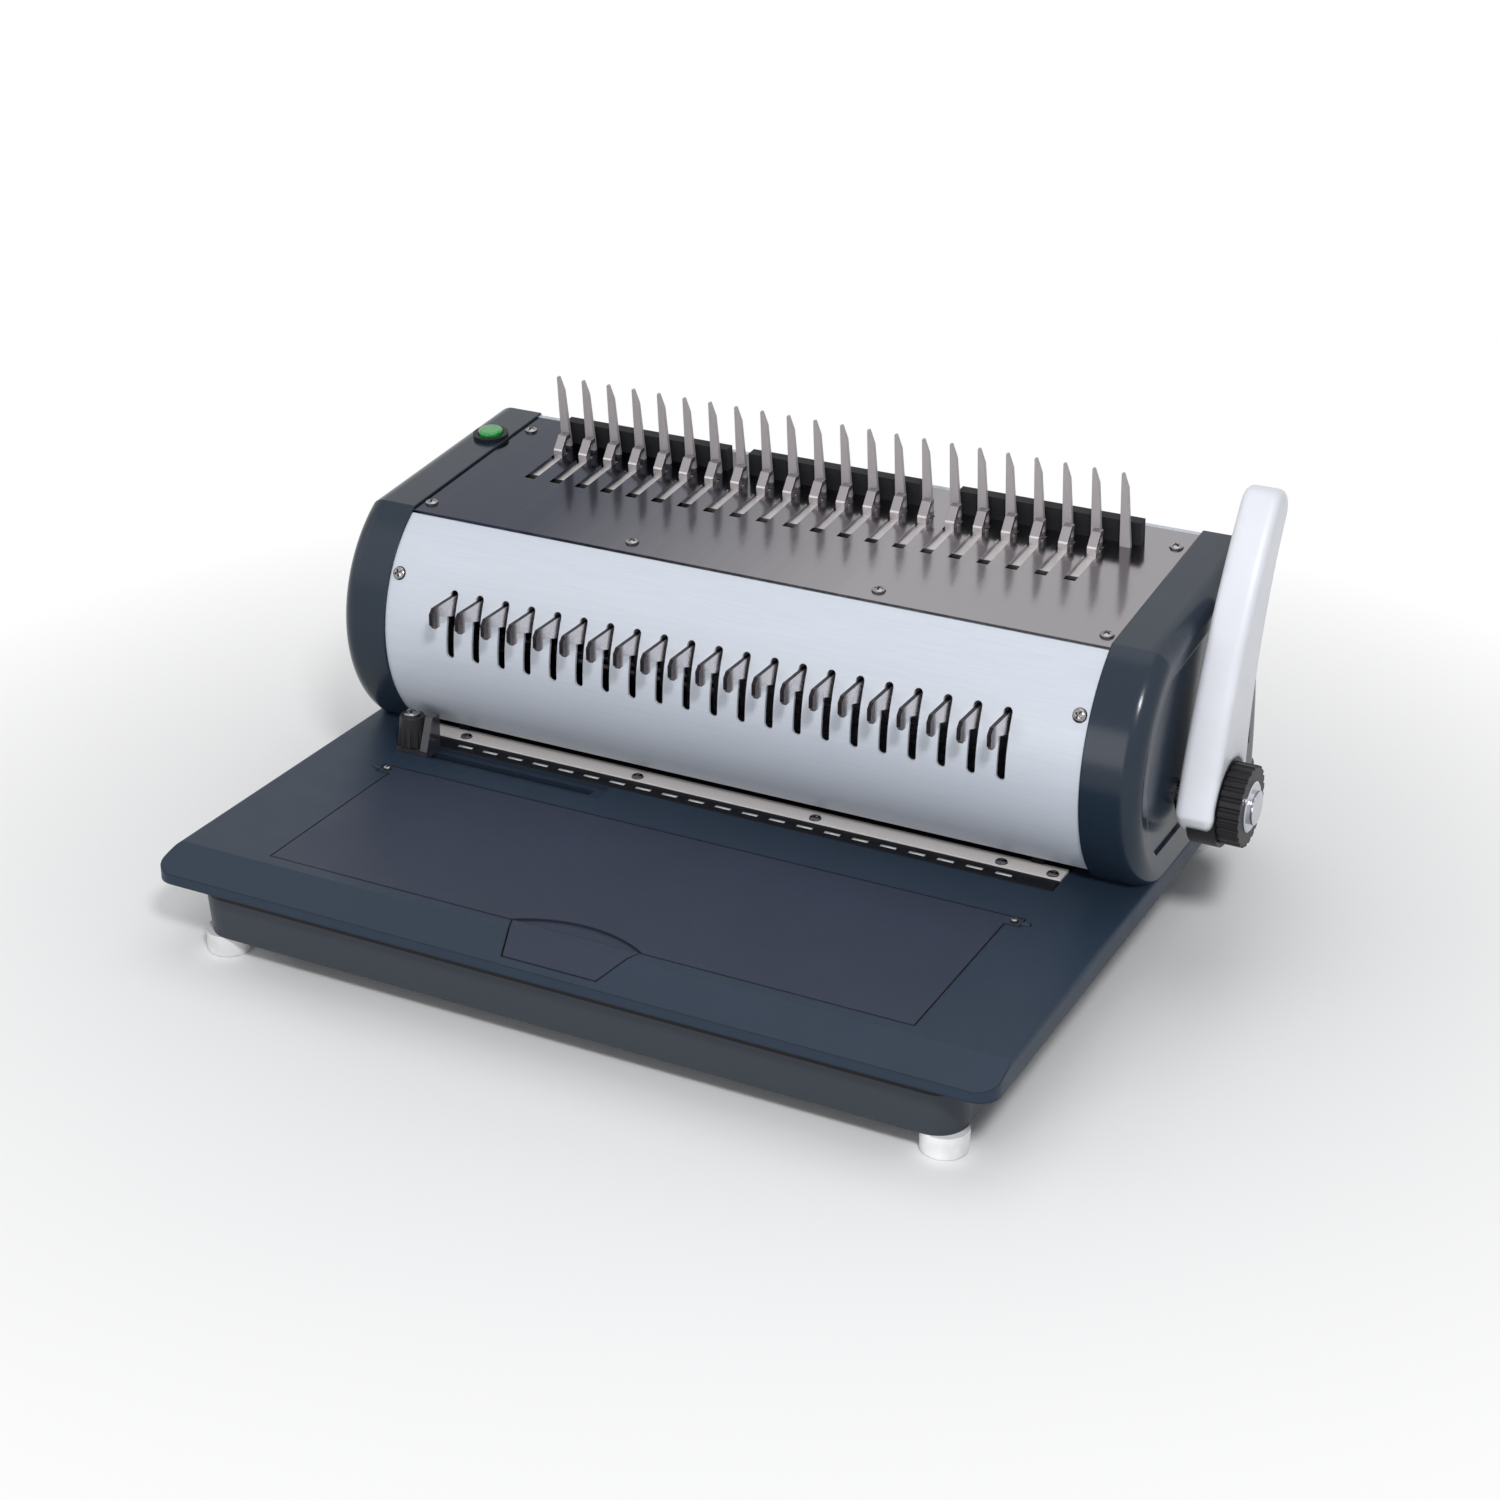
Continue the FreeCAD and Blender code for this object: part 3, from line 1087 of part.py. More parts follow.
os.makedirs("parts", exist_ok=True)
for name, shape in nodes().items():
    shape.translate(V(-X_MID, -Y_MID, 0))
    assert shape.isValid() and shape.Volume > 0, name
    shape.exportStep("parts/%s.step" % name)
    print(name, len(shape.Solids), round(shape.Volume / 1000, 2), "cm3")
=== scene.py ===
"""Looks of the comb binding machine: finishes, screws and small trim on the model, camera and light."""
import json
import math

import bmesh
import bpy
from mathutils import Matrix, Vector


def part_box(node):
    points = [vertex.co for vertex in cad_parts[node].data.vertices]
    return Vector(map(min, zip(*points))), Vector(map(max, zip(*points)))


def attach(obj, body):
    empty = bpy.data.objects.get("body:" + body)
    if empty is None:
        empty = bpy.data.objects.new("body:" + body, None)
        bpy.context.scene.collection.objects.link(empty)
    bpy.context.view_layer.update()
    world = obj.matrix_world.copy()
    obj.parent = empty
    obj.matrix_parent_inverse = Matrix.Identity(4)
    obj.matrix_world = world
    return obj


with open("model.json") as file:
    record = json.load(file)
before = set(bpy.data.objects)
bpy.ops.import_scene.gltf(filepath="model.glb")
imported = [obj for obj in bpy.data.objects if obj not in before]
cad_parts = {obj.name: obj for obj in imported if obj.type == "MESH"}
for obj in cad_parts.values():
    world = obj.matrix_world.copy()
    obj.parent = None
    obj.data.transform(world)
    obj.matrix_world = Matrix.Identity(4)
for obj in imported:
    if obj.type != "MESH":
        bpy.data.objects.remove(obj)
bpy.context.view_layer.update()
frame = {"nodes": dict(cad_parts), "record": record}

MM = 0.001
UP = Vector((0, 0, 1))
OUT_RIGHT = Vector((1, 0, 0))

# Camera of the photograph, fitted to the punch row and the base
CAM_PLACE = Vector((0.5317, -1.0673, 0.6509))
CAM_AZIMUTH = math.radians(26.663)
CAM_ELEVATION = math.radians(24.509)
CAM_ROLL = math.radians(0.495)
CAM_SENSOR = 36.0
CAM_LENS = 68.0
CAM_SHIFT = (-0.0024, -0.0351)

# Studio: each lamp's name, place and size in metres and power in watts, and the light from the surroundings
LAMPS = (
    ("key", (0.85, -1.15, 1.4), 0.25, 17.0),
    ("fill", (-1.3, -0.9, 1.0), 1.2, 2.5),
    ("front", (-0.3, -1.9, 0.4), 1.0, 7.5),
    ("top", (0.0, 0.3, 1.8), 1.4, 6.0),
)
LAMP_AIM = Vector((0, 0, 0.08))
SKY_COLOUR = (0.93, 0.96, 1.0, 1)
SKY_STRENGTH = 0.3

# Floor: radius in metres, share of light it gives back, and where it fades to white
FLOOR_RADIUS = 3.0
FLOOR_SEGMENTS = 96
FLOOR_PALE = (0.90, 0.92)
FLOOR_ROUGH = 0.9
FLOOR_FADE = (0.22, 0.55)

# The punch row, from whose middle places on the machine are counted in millimetres
DIE_LO, DIE_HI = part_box("die_plate")
ROW_X = (DIE_LO.x + DIE_HI.x) / 2
ROW_Y = DIE_LO.y - 7 * MM
HOLES = sum(1 for name in frame["nodes"] if name.startswith("pin_pull_"))
PITCH = 14.2875

# A distance in millimetres that is outside the machine on every side
OUTSIDE = 300

# Places in metres where painted light and shade change a piece's colour, and the width of a sharp change
DECK_REFLECTION_FADE = (-0.135, 0.05)
DECK_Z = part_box("top_deck")[1].z
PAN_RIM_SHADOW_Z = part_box("lower_base")[1].z - 6.6 * MM
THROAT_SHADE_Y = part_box("stripper_bar")[0].y + 1.0 * MM
PULL_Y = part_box("pin_pull_01")[0].y
PULL_NOSE_SHADE = (PULL_Y + 3.5 * MM, PULL_Y + 7.0 * MM)
SHARP = 0.4 * MM

# Painted shade along seams and sharp edges: reach from an edge, colour, and cosines of the edge's turn where
# the painted shade ends
SEAM_WIDTH = 1.2 * MM
SEAM_SHADE = (0.004, 0.005, 0.006)
SEAM_TURN = (0.8, 0.97)

# Scale of a grain along the axes, and depth of surface relief
EVEN_GRAIN = (3200.0, 3200.0, 3200.0)
SHEET_GRAIN = (40.0, 1800.0, 1800.0)
POLISH_GRAIN = (260.0, 3.0, 3.0)
SCRATCH_FINE, SCRATCH_LONG = 900.0, 9.0
FINE, COARSE = 0.1 * MM, 0.2 * MM

# Nodes whose finish isn't that of their slot
OWN_LOOKS = {"opener_carriage": "hook_zinc", "stripper_bar": "black_oxide", "edge_guide": "guide_smoke"}

# Shape of a pan-head screw and of the dark ring painted as shade round it, as shares of the head's radius
HEAD_HEIGHT = 0.62
HEAD_DOME = 0.75
CROSS_ARM = 0.62
CROSS_HALF_WIDTH = 0.13
CROSS_DEPTH = 0.4
SEAT_OUTER, SEAT_INNER = 1.14, 0.9

# Depth of a screw and heights of its ring of painted shade, turns of the recess in radians, and fineness of
# the head's mesh
SCREW_SUNK = 0.4 * MM
SEAT_RIM, SEAT_TOP = 0.06 * MM, 0.12 * MM
FIRST_TURN, NEXT_TURN = 0.4, 0.7
HEAD_STEPS, HEAD_SEGMENTS = 9, 48
WELD = 1e-7

# Screws: radius of the heads, and places as x and z on the panel and back, x and y on the deck, die and lid
SCREW_RADII = {"panel_screws": 3.0 * MM, "deck_screws": 3.0 * MM, "die_screws": 2.6 * MM,
               "rear_screws": 2.8 * MM, "knob_screw": 4.2 * MM, "lid_studs": 1.7 * MM}
PANEL_SCREWS = ((-175.3, 135.4), (175.3, 135.4))
DECK_SCREWS = ((-175, 29), (-63, 29), (65, 29), (175, 29), (-174, 122), (174, 122))
DIE_SCREWS = ((-148, 10.5), (-51, 10.5), (44, 10.5), (138, 10.5), (163, 10.5))
REAR_SCREWS = ((-172, 62), (-172, 150), (0, 62), (0, 150), (172, 62), (172, 150))
LID_STUDS = ((-163.5, -36.5), (163.5, -36.5))

# Angles of the edges that stay sharp on small pieces, in degrees
PIECE_CREASE, SCREW_CREASE = 35, 40

# Washer on the hub: radius and height of its outline
WASHER = ((11.8 * MM, -SCREW_SUNK), (11.8 * MM, 0.5 * MM), (11.1 * MM, 1.0 * MM), (2.0 * MM, 1.0 * MM))
WASHER_SEGMENTS = 64

# Sleeves on the inlet's blades: places across and up in millimetres, depth, size and rounding
BLADES = ((-7, -2), (0, 2), (7, -2))
BLADE_DEEP = 9 * MM
BLADE_SIZE = (2.3 * MM, 14.2 * MM, 4.3 * MM)
BLADE_EDGE = 0.2 * MM

# Printed dashes: share of the strip's width where they lie, size and rounding
DASH_ACROSS = 0.45
DASH_SIZE = (8.0 * MM, 1.9 * MM, 0.12 * MM)
DASH_EDGE = 0.03 * MM


def at(x, y, z):
    """A point of the machine, given in millimetres from the row's middle and the table."""
    return Vector((ROW_X + x * MM, ROW_Y + y * MM, z * MM))


def struck(node, start, way):
    """Where a ray from a point of the machine first strikes a node, with the normal there."""
    obj = frame["nodes"][node]
    back = obj.matrix_world.inverted()
    hit, point, normal, _ = obj.ray_cast(back @ start, back.to_3x3() @ Vector(way))
    assert hit, node
    return obj.matrix_world @ point, (obj.matrix_world.to_3x3() @ normal).normalized()


def on_deck(x, y):
    return struck("top_deck", at(x, y, OUTSIDE), (0, 0, -1))


def on_front(x, z):
    return struck("front_panel", at(x, -OUTSIDE, z), (0, 1, 0))


def on_back(x, z):
    return struck("rear_panel", at(x, OUTSIDE, z), (0, -1, 0))


# Finishes
class Finish:
    """A material's node tree with short calls for the nodes that the finishes share."""

    def __init__(self, name):
        self.material = bpy.data.materials.new(name)
        self.material.use_nodes = True
        self.tree = self.material.node_tree
        self.shader = self.tree.nodes["Principled BSDF"]
        coordinates = self.node("TexCoord")
        self.where = coordinates.outputs["Object"]
        self.normal = coordinates.outputs["Normal"]

    def node(self, kind, **options):
        made = self.tree.nodes.new("ShaderNode" + kind)
        for key, value in options.items():
            setattr(made, key, value)
        return made

    def link(self, output, socket):
        self.tree.links.new(output, socket)

    def feed(self, name, output):
        """Link an output to the shader's socket of that name."""
        self.link(output, self.shader.inputs[name])

    def fix(self, **values):
        """Set plain values on the shader's own sockets."""
        names = {"metal": "Metallic", "ior": "IOR", "coat": "Coat Weight", "coat_rough": "Coat Roughness",
                 "aniso": "Anisotropic", "transmit": "Transmission Weight", "spec": "Specular IOR Level",
                 "rough": "Roughness"}
        for key, value in values.items():
            self.shader.inputs[names[key]].default_value = value

    def maths(self, operation, *values):
        """A calculation on outputs of other nodes and plain numbers."""
        node = self.node("Math", operation=operation)
        for socket, value in zip(node.inputs, values):
            if isinstance(value, bpy.types.NodeSocket):
                self.link(value, socket)
            else:
                socket.default_value = value
        return node.outputs["Value"]

    def stretched(self, scale):
        """Object coordinates, scaled apart along the axes."""
        node = self.node("Mapping")
        node.inputs["Scale"].default_value = scale
        self.link(self.where, node.inputs["Vector"])
        return node.outputs["Vector"]

    def part(self, vector, axis):
        """One axis of a vector."""
        node = self.node("SeparateXYZ")
        self.link(vector, node.inputs["Vector"])
        return node.outputs[axis]

    def span(self, value, start, end):
        """Zero to one while a value goes from start to end."""
        node = self.node("MapRange")
        node.inputs["From Min"].default_value = start
        node.inputs["From Max"].default_value = end
        self.link(value, node.inputs["Value"])
        return node.outputs["Result"]

    def along(self, axis, start, end):
        """Zero to one between two places on an axis."""
        return self.span(self.part(self.where, axis), start, end)

    def noise(self, scale, detail=3.0, vector=None):
        node = self.node("TexNoise")
        node.inputs["Scale"].default_value = scale
        node.inputs["Detail"].default_value = detail
        self.link(vector or self.where, node.inputs["Vector"])
        return node.outputs["Fac"]

    def ramp(self, value, low, high, start=0.3, end=0.7):
        """From one colour to another while a value goes from start to end."""
        node = self.node("ValToRGB")
        for element, place, colour in zip(node.color_ramp.elements, (start, end), (low, high)):
            element.position = place
            element.color = (*colour, 1)
        self.link(value, node.inputs["Fac"])
        return node.outputs["Color"]

    def level(self, value, low, high, start=0.3, end=0.7):
        """From one grey to another while a value goes from start to end."""
        return self.ramp(value, (low,) * 3, (high,) * 3, start, end)

    def mottle(self, value, colour, low, high, start=0.3, end=0.7):
        """A colour that is darker and lighter by turns."""
        return self.ramp(value, shade(colour, low), shade(colour, high), start, end)

    def gloss(self, value, rough, low=0.8, high=1.2):
        """Uneven roughness."""
        self.feed("Roughness", self.level(value, rough * low, rough * high))

    def blend(self, share, colour, output):
        """A plain colour that gives way to an output as the share goes to one."""
        mix = self.node("Mix", data_type="RGBA")
        mix.inputs["A"].default_value = (*colour, 1)
        self.link(share, mix.inputs["Factor"])
        self.link(output, mix.inputs["B"])
        return mix.outputs["Result"]

    def rounded(self, radius):
        """Normals as if the sharp edges of the mesh were rounded."""
        bevel = self.node("Bevel")
        bevel.inputs["Radius"].default_value = radius
        return bevel.outputs["Normal"]

    def bump(self, height, strength, depth, edge=0.0):
        """Fine relief, over rounded edges where a radius is given."""
        node = self.node("Bump")
        node.inputs["Strength"].default_value = strength
        node.inputs["Distance"].default_value = depth
        self.link(height, node.inputs["Height"])
        if edge:
            self.link(self.rounded(edge), node.inputs["Normal"])
        self.feed("Normal", node.outputs["Normal"])

    def seam_shade(self, colour):
        """A colour that turns dark next to the sharp edges of the mesh, as painted shade in the seams."""
        turned = self.node("VectorMath", operation="DOT_PRODUCT")
        self.link(self.rounded(SEAM_WIDTH), turned.inputs[0])
        self.link(self.node("NewGeometry").outputs["Normal"], turned.inputs[1])
        return self.blend(self.level(turned.outputs["Value"], 0.0, 1.0, *SEAM_TURN), SEAM_SHADE, colour)


def shade(colour, factor):
    return tuple(min(1.0, c * factor) for c in colour)


def srgb(r, g, b):
    """Linear colour of an 8-bit display colour."""
    return tuple(((c / 255 + 0.055) / 1.055) ** 2.4 if c > 10 else c / 255 / 12.92 for c in (r, g, b))


def moulded(name, colour, rough, grain=0.12, spec=0.2, edge=0.6 * MM, seam_shade=False):
    """Moulded plastic: fine spark-eroded grain, faint mottling, uneven gloss, and painted shade along seams
    and sharp edges if asked for.
    """
    f = Finish(name)
    tone = f.mottle(f.noise(24, 4), colour, 0.95, 1.05)
    f.feed("Base Color", f.seam_shade(tone) if seam_shade else tone)
    f.gloss(f.noise(70), rough, 0.94, 1.06)
    f.bump(f.noise(2600, 2), grain, COARSE, edge)
    f.fix(spec=spec)
    return f.material


def seam_shaded_moulded(name, colour, rough):
    """Moulded plastic with painted shade along its seams and sharp edges."""
    return moulded(name, colour, rough, seam_shade=True)


def painted(name, colour, rough, flake=0.05, grain=EVEN_GRAIN):
    """Sprayed metal paint: fine metallic speckle, drawn out to lines where the grain is uneven."""
    f = Finish(name)
    speckle = f.noise(1.0, 1, f.stretched(grain))
    f.feed("Base Color", f.mottle(speckle, colour, 1 - flake, 1 + flake, 0.4, 0.6))
    f.gloss(f.noise(30), rough, 0.9, 1.1)
    f.bump(f.noise(420, 2), 0.05, COARSE, 0.4 * MM)
    f.fix(coat=0.15, coat_rough=0.25)
    return f.material


def light_shade_split(name, near, far, axis, place, rough, metal=0.0):
    """A smooth piece with one colour up to a place on an axis and another past it, as painted light and
    shade.
    """
    f = Finish(name)
    side = f.along(axis, place - SHARP / 2, place + SHARP / 2)
    f.feed("Base Color", f.ramp(side, near, far, 0.1, 0.9))
    f.gloss(f.noise(60), rough)
    f.bump(f.noise(900), 0.06, COARSE, 0.4 * MM)
    f.fix(metal=metal, spec=0.25)
    return f.material


def brushed(name, colour, rough, along, depth=0.25, contrast=0.12):
    """Brushed or ground metal with its scratches along one axis and faint clouds over them."""
    f = Finish(name)
    lines = f.noise(1.0, 4, f.stretched([SCRATCH_LONG if axis == along else SCRATCH_FINE for axis in "XYZ"]))
    mix = f.node("Mix", data_type="RGBA", blend_type="MULTIPLY")
    mix.inputs["Factor"].default_value = 1.0
    f.link(f.mottle(lines, colour, 1 - contrast, 1 + contrast), mix.inputs["A"])
    f.link(f.level(f.noise(9), 0.88, 1.0), mix.inputs["B"])
    f.feed("Base Color", mix.outputs["Result"])
    f.gloss(lines, rough)
    f.bump(lines, depth, FINE)
    f.fix(metal=1.0, aniso=0.4)
    return f.material


def plated(name, colour, rough):
    """Bright plating with faint smears."""
    f = Finish(name)
    f.feed("Base Color", f.mottle(f.noise(40), colour, 0.9, 1.0))
    f.gloss(f.noise(130), rough, 0.6, 1.5)
    f.bump(f.noise(300, 2), 0.04, FINE)
    f.fix(metal=1.0)
    return f.material


def plate_painted_shade(name, side, nose_shade, edge, rough):
    """Pressed plate: sides that face along X, with painted shade that darkens the nose and the edges."""
    f = Finish(name)
    # Painted shade: faces that don't face along X take the dark edge colour
    flat = f.level(f.maths("ABSOLUTE", f.part(f.normal, "X")), 0.0, 1.0, 0.4, 0.6)
    sides = f.ramp(f.along("Y", *PULL_NOSE_SHADE), nose_shade, side, 0.0, 1.0)
    f.feed("Base Color", f.blend(flat, edge, sides))
    f.gloss(f.noise(160), rough)
    f.bump(f.noise(500, 2), 0.05, FINE)
    f.fix(metal=1.0)
    return f.material


def mirror_steel_painted_reflection(name, left, right, rough):
    """Polished sheet with a painted reflection that darkens it towards its left end, and faint polishing
    lines from front to back.
    """
    f = Finish(name)
    lines = f.noise(1.0, 4, f.stretched(POLISH_GRAIN))
    # Painted reflection: the colour runs from dark at the left end to pale at the right
    painted_reflection = f.maths("MULTIPLY_ADD", lines, 0.12, f.along("X", *DECK_REFLECTION_FADE))
    f.feed("Base Color", f.ramp(painted_reflection, left, right, 0.06, 1.06))
    f.gloss(lines, rough)
    f.bump(lines, 0.02, FINE)
    f.fix(metal=1.0)
    return f.material


def rubber(name, colour, rough):
    """Matt rubber with a coarse skin."""
    f = Finish(name)
    f.feed("Base Color", f.mottle(f.noise(60, 4), colour, 0.8, 1.15))
    f.gloss(f.noise(90), rough, 0.9, 1.05)
    f.bump(f.noise(1500), 0.2, COARSE)
    f.fix(spec=0.3)
    return f.material


def tinted(name, colour, rough, clear):
    """Translucent moulded plastic, more or less clear."""
    f = Finish(name)
    f.feed("Base Color", f.mottle(f.noise(250, 2), colour, 0.8, 1.2))
    f.gloss(f.noise(200, 2), rough)
    f.bump(f.noise(700, 2), 0.05, FINE)
    f.fix(transmit=clear, ior=1.49, coat=0.5, coat_rough=0.05)
    return f.material


def finishes():
    """A material for every slot and for the small pieces, by name."""
    recipes = {
        "foot_rubber": (rubber, srgb(236, 236, 236), 0.7),
        # Lower base: the dark band at its top is a painted shadow under the tray's rim
        "pan_grey": (light_shade_split, srgb(56, 62, 70), srgb(16, 16, 18), "Z", PAN_RIM_SHADOW_Z, 0.42),
        # Tray and lid: painted shade darkens their seams and sharp edges
        "tray_grey": (seam_shaded_moulded, srgb(40, 53, 69), 0.42),
        "lid_grey": (seam_shaded_moulded, srgb(48, 54, 71), 0.46),
        "guide_black": (moulded, srgb(46, 44, 47), 0.4),
        # Die: dark behind the throat line as painted shade under the front panel
        "die_steel": (light_shade_split, srgb(222, 217, 216), srgb(16, 16, 17), "Y", THROAT_SHADE_Y, 0.4),
        "strip_black": (moulded, srgb(17, 19, 24), 0.5),
        "dash_white": (moulded, srgb(214, 214, 214), 0.5),
        "tool_steel": (brushed, srgb(128, 128, 132), 0.4, "X"),
        "ground_steel": (brushed, srgb(170, 170, 174), 0.3, "X"),
        "panel_silver": (painted, srgb(205, 211, 221), 0.38, 0.02, SHEET_GRAIN),
        # Deck: the dark-to-pale run from left to right is a painted reflection
        "deck_steel": (mirror_steel_painted_reflection, srgb(48, 52, 68), srgb(153, 150, 153), 0.14),
        "rear_grey": (painted, srgb(200, 206, 216), 0.4, 0.02, SHEET_GRAIN),
        "cap_grey": (moulded, srgb(33, 45, 59), 0.19, 0.05, 0.3, 1.0 * MM),
        "trim_black": (moulded, srgb(30, 31, 33), 0.45),
        "button_green": (tinted, srgb(0, 156, 56), 0.12, 0.1),
        "frame_steel": (painted, srgb(150, 152, 156), 0.4),
        "bush_brass": (plated, srgb(200, 165, 95), 0.3),
        "finger_steel": (painted, srgb(168, 163, 165), 0.4, 0.04),
        "pad_rubber": (rubber, srgb(28, 28, 32), 0.75),
        "handle_white": (moulded, srgb(229, 231, 238), 0.3, 0.04, 0.4, 3.0 * MM),
        "hub_black": (moulded, srgb(34, 33, 36), 0.42),
        "cap_chrome": (plated, srgb(196, 198, 204), 0.14),
        "screw_nickel": (plated, srgb(150, 148, 150), 0.16),
        # Dark ring round each screw head: painted shade
        "screw_seat": (moulded, srgb(38, 38, 42), 0.5),
        # Pulls: the dark nose and edges are painted shade
        "pull_chrome": (plate_painted_shade, srgb(232, 226, 226), srgb(120, 112, 112), srgb(46, 43, 46), 0.26),
        # Opener carriage: painted light makes it paler below the deck top, where the deck shades it, and
        # darker above
        "hook_zinc": (light_shade_split, srgb(200, 196, 197), srgb(146, 142, 145), "Z", DECK_Z, 0.45, 1.0),
        "motor_alloy": (brushed, srgb(140, 140, 144), 0.5, "X"),
        "black_oxide": (moulded, srgb(14, 14, 15), 0.5, 0.05, 0.1),
        "guide_smoke": (tinted, srgb(70, 72, 80), 0.2, 0.5),
    }
    return {name: make(name, *values) for name, (make, *values) in recipes.items()}


def dress_nodes(looks):
    """Every node gets the finish of its slot, and a few get one of their own."""
    for part in frame["record"]["subparts"]:
        name = part["node"]
        materials = frame["nodes"][name].data.materials
        materials.clear()
        materials.append(looks[OWN_LOOKS.get(name, part["material_slot"])])


# Small pieces
def new_object(name, bm, look):
    """An object of the scene, made from a bmesh, with one material."""
    mesh = bpy.data.meshes.new(name)
    bm.to_mesh(mesh)
    bm.free()
    mesh.materials.append(look)
    obj = bpy.data.objects.new(name, mesh)
    bpy.context.scene.collection.objects.link(obj)
    return obj


def piece(name, bm, look, body, crease=PIECE_CREASE):
    """A small piece with smooth round faces, finished and riding on its body."""
    bmesh.ops.recalc_face_normals(bm, faces=bm.faces)
    for face in bm.faces:
        face.smooth = True
    for edge in bm.edges:
        if len(edge.link_faces) == 2 and edge.calc_face_angle() > math.radians(crease):
            edge.smooth = False
    obj = new_object(name, bm, look)
    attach(obj, body)


def facing(point, normal):
    """A frame at a point whose Z axis is the normal."""
    return Matrix.Translation(point) @ normal.to_track_quat("Z", "Y").to_matrix().to_4x4()


def circle(count):
    """Points round a circle of radius one."""
    angles = [2 * math.pi * i / count for i in range(count)]
    return [(math.cos(a), math.sin(a)) for a in angles]


def join_rings(bm, rings):
    """Faces between each ring of points and the next."""
    for low, high in zip(rings, rings[1:]):
        for i in range(len(low)):
            j = (i + 1) % len(low)
            bm.faces.new((low[i], low[j], high[j], high[i]))


def add_rings(bm, place, profile, segments=24):
    """A turned form: (radius, height) points about Z, closed at both ends."""
    rings = []
    for radius, height in profile:
        points = [Vector((radius * x, radius * y, height)) for x, y in circle(segments)]
        rings.append([bm.verts.new(place @ point) for point in points])
    join_rings(bm, rings)
    bm.faces.new(list(reversed(rings[0])))
    bm.faces.new(rings[-1])


def head_point(x, y):
    """A point on a screw head of radius one: a dome with a cross recess."""
    height = HEAD_HEIGHT * math.sqrt(1 - HEAD_DOME * (x * x + y * y))
    narrow, wide = sorted((abs(x), abs(y)))
    if narrow < CROSS_HALF_WIDTH and wide < CROSS_ARM:
        height -= CROSS_DEPTH
    return Vector((x, y, height))


def add_screw(bm, place, radius, turn):
    """Pan-head screw with a cross recess; its head is sunk a little into what it holds."""
    place = place @ Matrix.Rotation(turn, 4, "Z")
    rounds = circle(HEAD_SEGMENTS)
    rows = []
    for k in range(HEAD_STEPS + 1):
        share = k / HEAD_STEPS
        rows.append([bm.verts.new(place @ (radius * head_point(share * x, share * y))) for x, y in rounds])
    foot = [bm.verts.new(place @ Vector((radius * x, radius * y, -SCREW_SUNK))) for x, y in rounds]
    join_rings(bm, rows + [foot])
    bm.faces.new(foot)
    bmesh.ops.remove_doubles(bm, verts=bm.verts, dist=WELD)


def screw_group(name, places, looks, body="frame"):
    """Screws of one size, each in a dark ring of painted shade round its head."""
    radius = SCREW_RADII[name]
    heads, seat_shades = bmesh.new(), bmesh.new()
    outer, inner = radius * SEAT_OUTER, radius * SEAT_INNER
    for i, place in enumerate(places):
        add_screw(heads, place, radius, FIRST_TURN + NEXT_TURN * i)
        add_rings(seat_shades, place, ((outer, -SCREW_SUNK), (outer, SEAT_RIM), (inner, SEAT_TOP)))
    piece(name, heads, looks["screw_nickel"], body, SCREW_CREASE)
    piece(name + "_seat_shades", seat_shades, looks["screw_seat"], body)


def add_block(bm, place, size, bevel):
    """A block about a point, with its edges rounded."""
    made = bmesh.ops.create_cube(bm, size=1.0, matrix=Matrix.Translation(place) @ Matrix.Diagonal((*size, 1)))
    edges = {e for v in made["verts"] for e in v.link_edges}
    bmesh.ops.bevel(bm, geom=list(edges), offset=bevel, segments=2, affect="EDGES", profile=0.5)


def screws(looks):
    """All screws that show, on the face that each one holds."""
    die_top = DIE_HI.z / MM
    lid_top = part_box("bin_lid")[1].z / MM
    low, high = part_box("guide_knob")
    knob_top = Vector(((low.x + high.x) / 2, (low.y + high.y) / 2, high.z))
    screw_group("panel_screws", [facing(*on_front(x, z)) for x, z in PANEL_SCREWS], looks)
    screw_group("deck_screws", [facing(*on_deck(x, y)) for x, y in DECK_SCREWS], looks)
    screw_group("die_screws", [facing(at(x, y, die_top), UP) for x, y in DIE_SCREWS], looks)
    screw_group("rear_screws", [facing(*on_back(x, z)) for x, z in REAR_SCREWS], looks)
    screw_group("knob_screw", [facing(knob_top, UP)], looks, "knob")
    screw_group("lid_studs", [facing(at(x, y, lid_top), UP) for x, y in LID_STUDS], looks, "lid")


def dashes(looks):
    """Printed white dashes on the black strip, one for each hole."""
    low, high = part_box("scale_strip")
    bm = bmesh.new()
    for i in range(HOLES):
        spot = at(PITCH * (i - (HOLES - 1) / 2), 0, 0)
        spot.y = low.y + DASH_ACROSS * (high.y - low.y)
        spot.z = high.z
        add_block(bm, spot, DASH_SIZE, DASH_EDGE)
    piece("strip_dashes", bm, looks["dash_white"], "frame")


def hub_trim(looks):
    """Bright washer round the cap on the outside of the knurled wheel."""
    low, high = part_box("hub_cap")
    centre = Vector((low.x, (low.y + high.y) / 2, (low.z + high.z) / 2))
    bm = bmesh.new()
    add_rings(bm, facing(centre, OUT_RIGHT), WASHER, WASHER_SEGMENTS)
    piece("hub_washer", bm, looks["cap_chrome"], "drive")


def inlet_trim(looks):
    """Plated sleeves on the three blades inside the power inlet."""
    low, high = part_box("power_inlet")
    mid_x, mid_z = (low.x + high.x) / 2, (low.z + high.z) / 2
    bm = bmesh.new()
    for x, z in BLADES:
        spot = Vector((mid_x + x * MM, high.y - BLADE_DEEP, mid_z + z * MM))
        add_block(bm, spot, BLADE_SIZE, BLADE_EDGE)
    piece("inlet_blades", bm, looks["cap_chrome"], "frame")


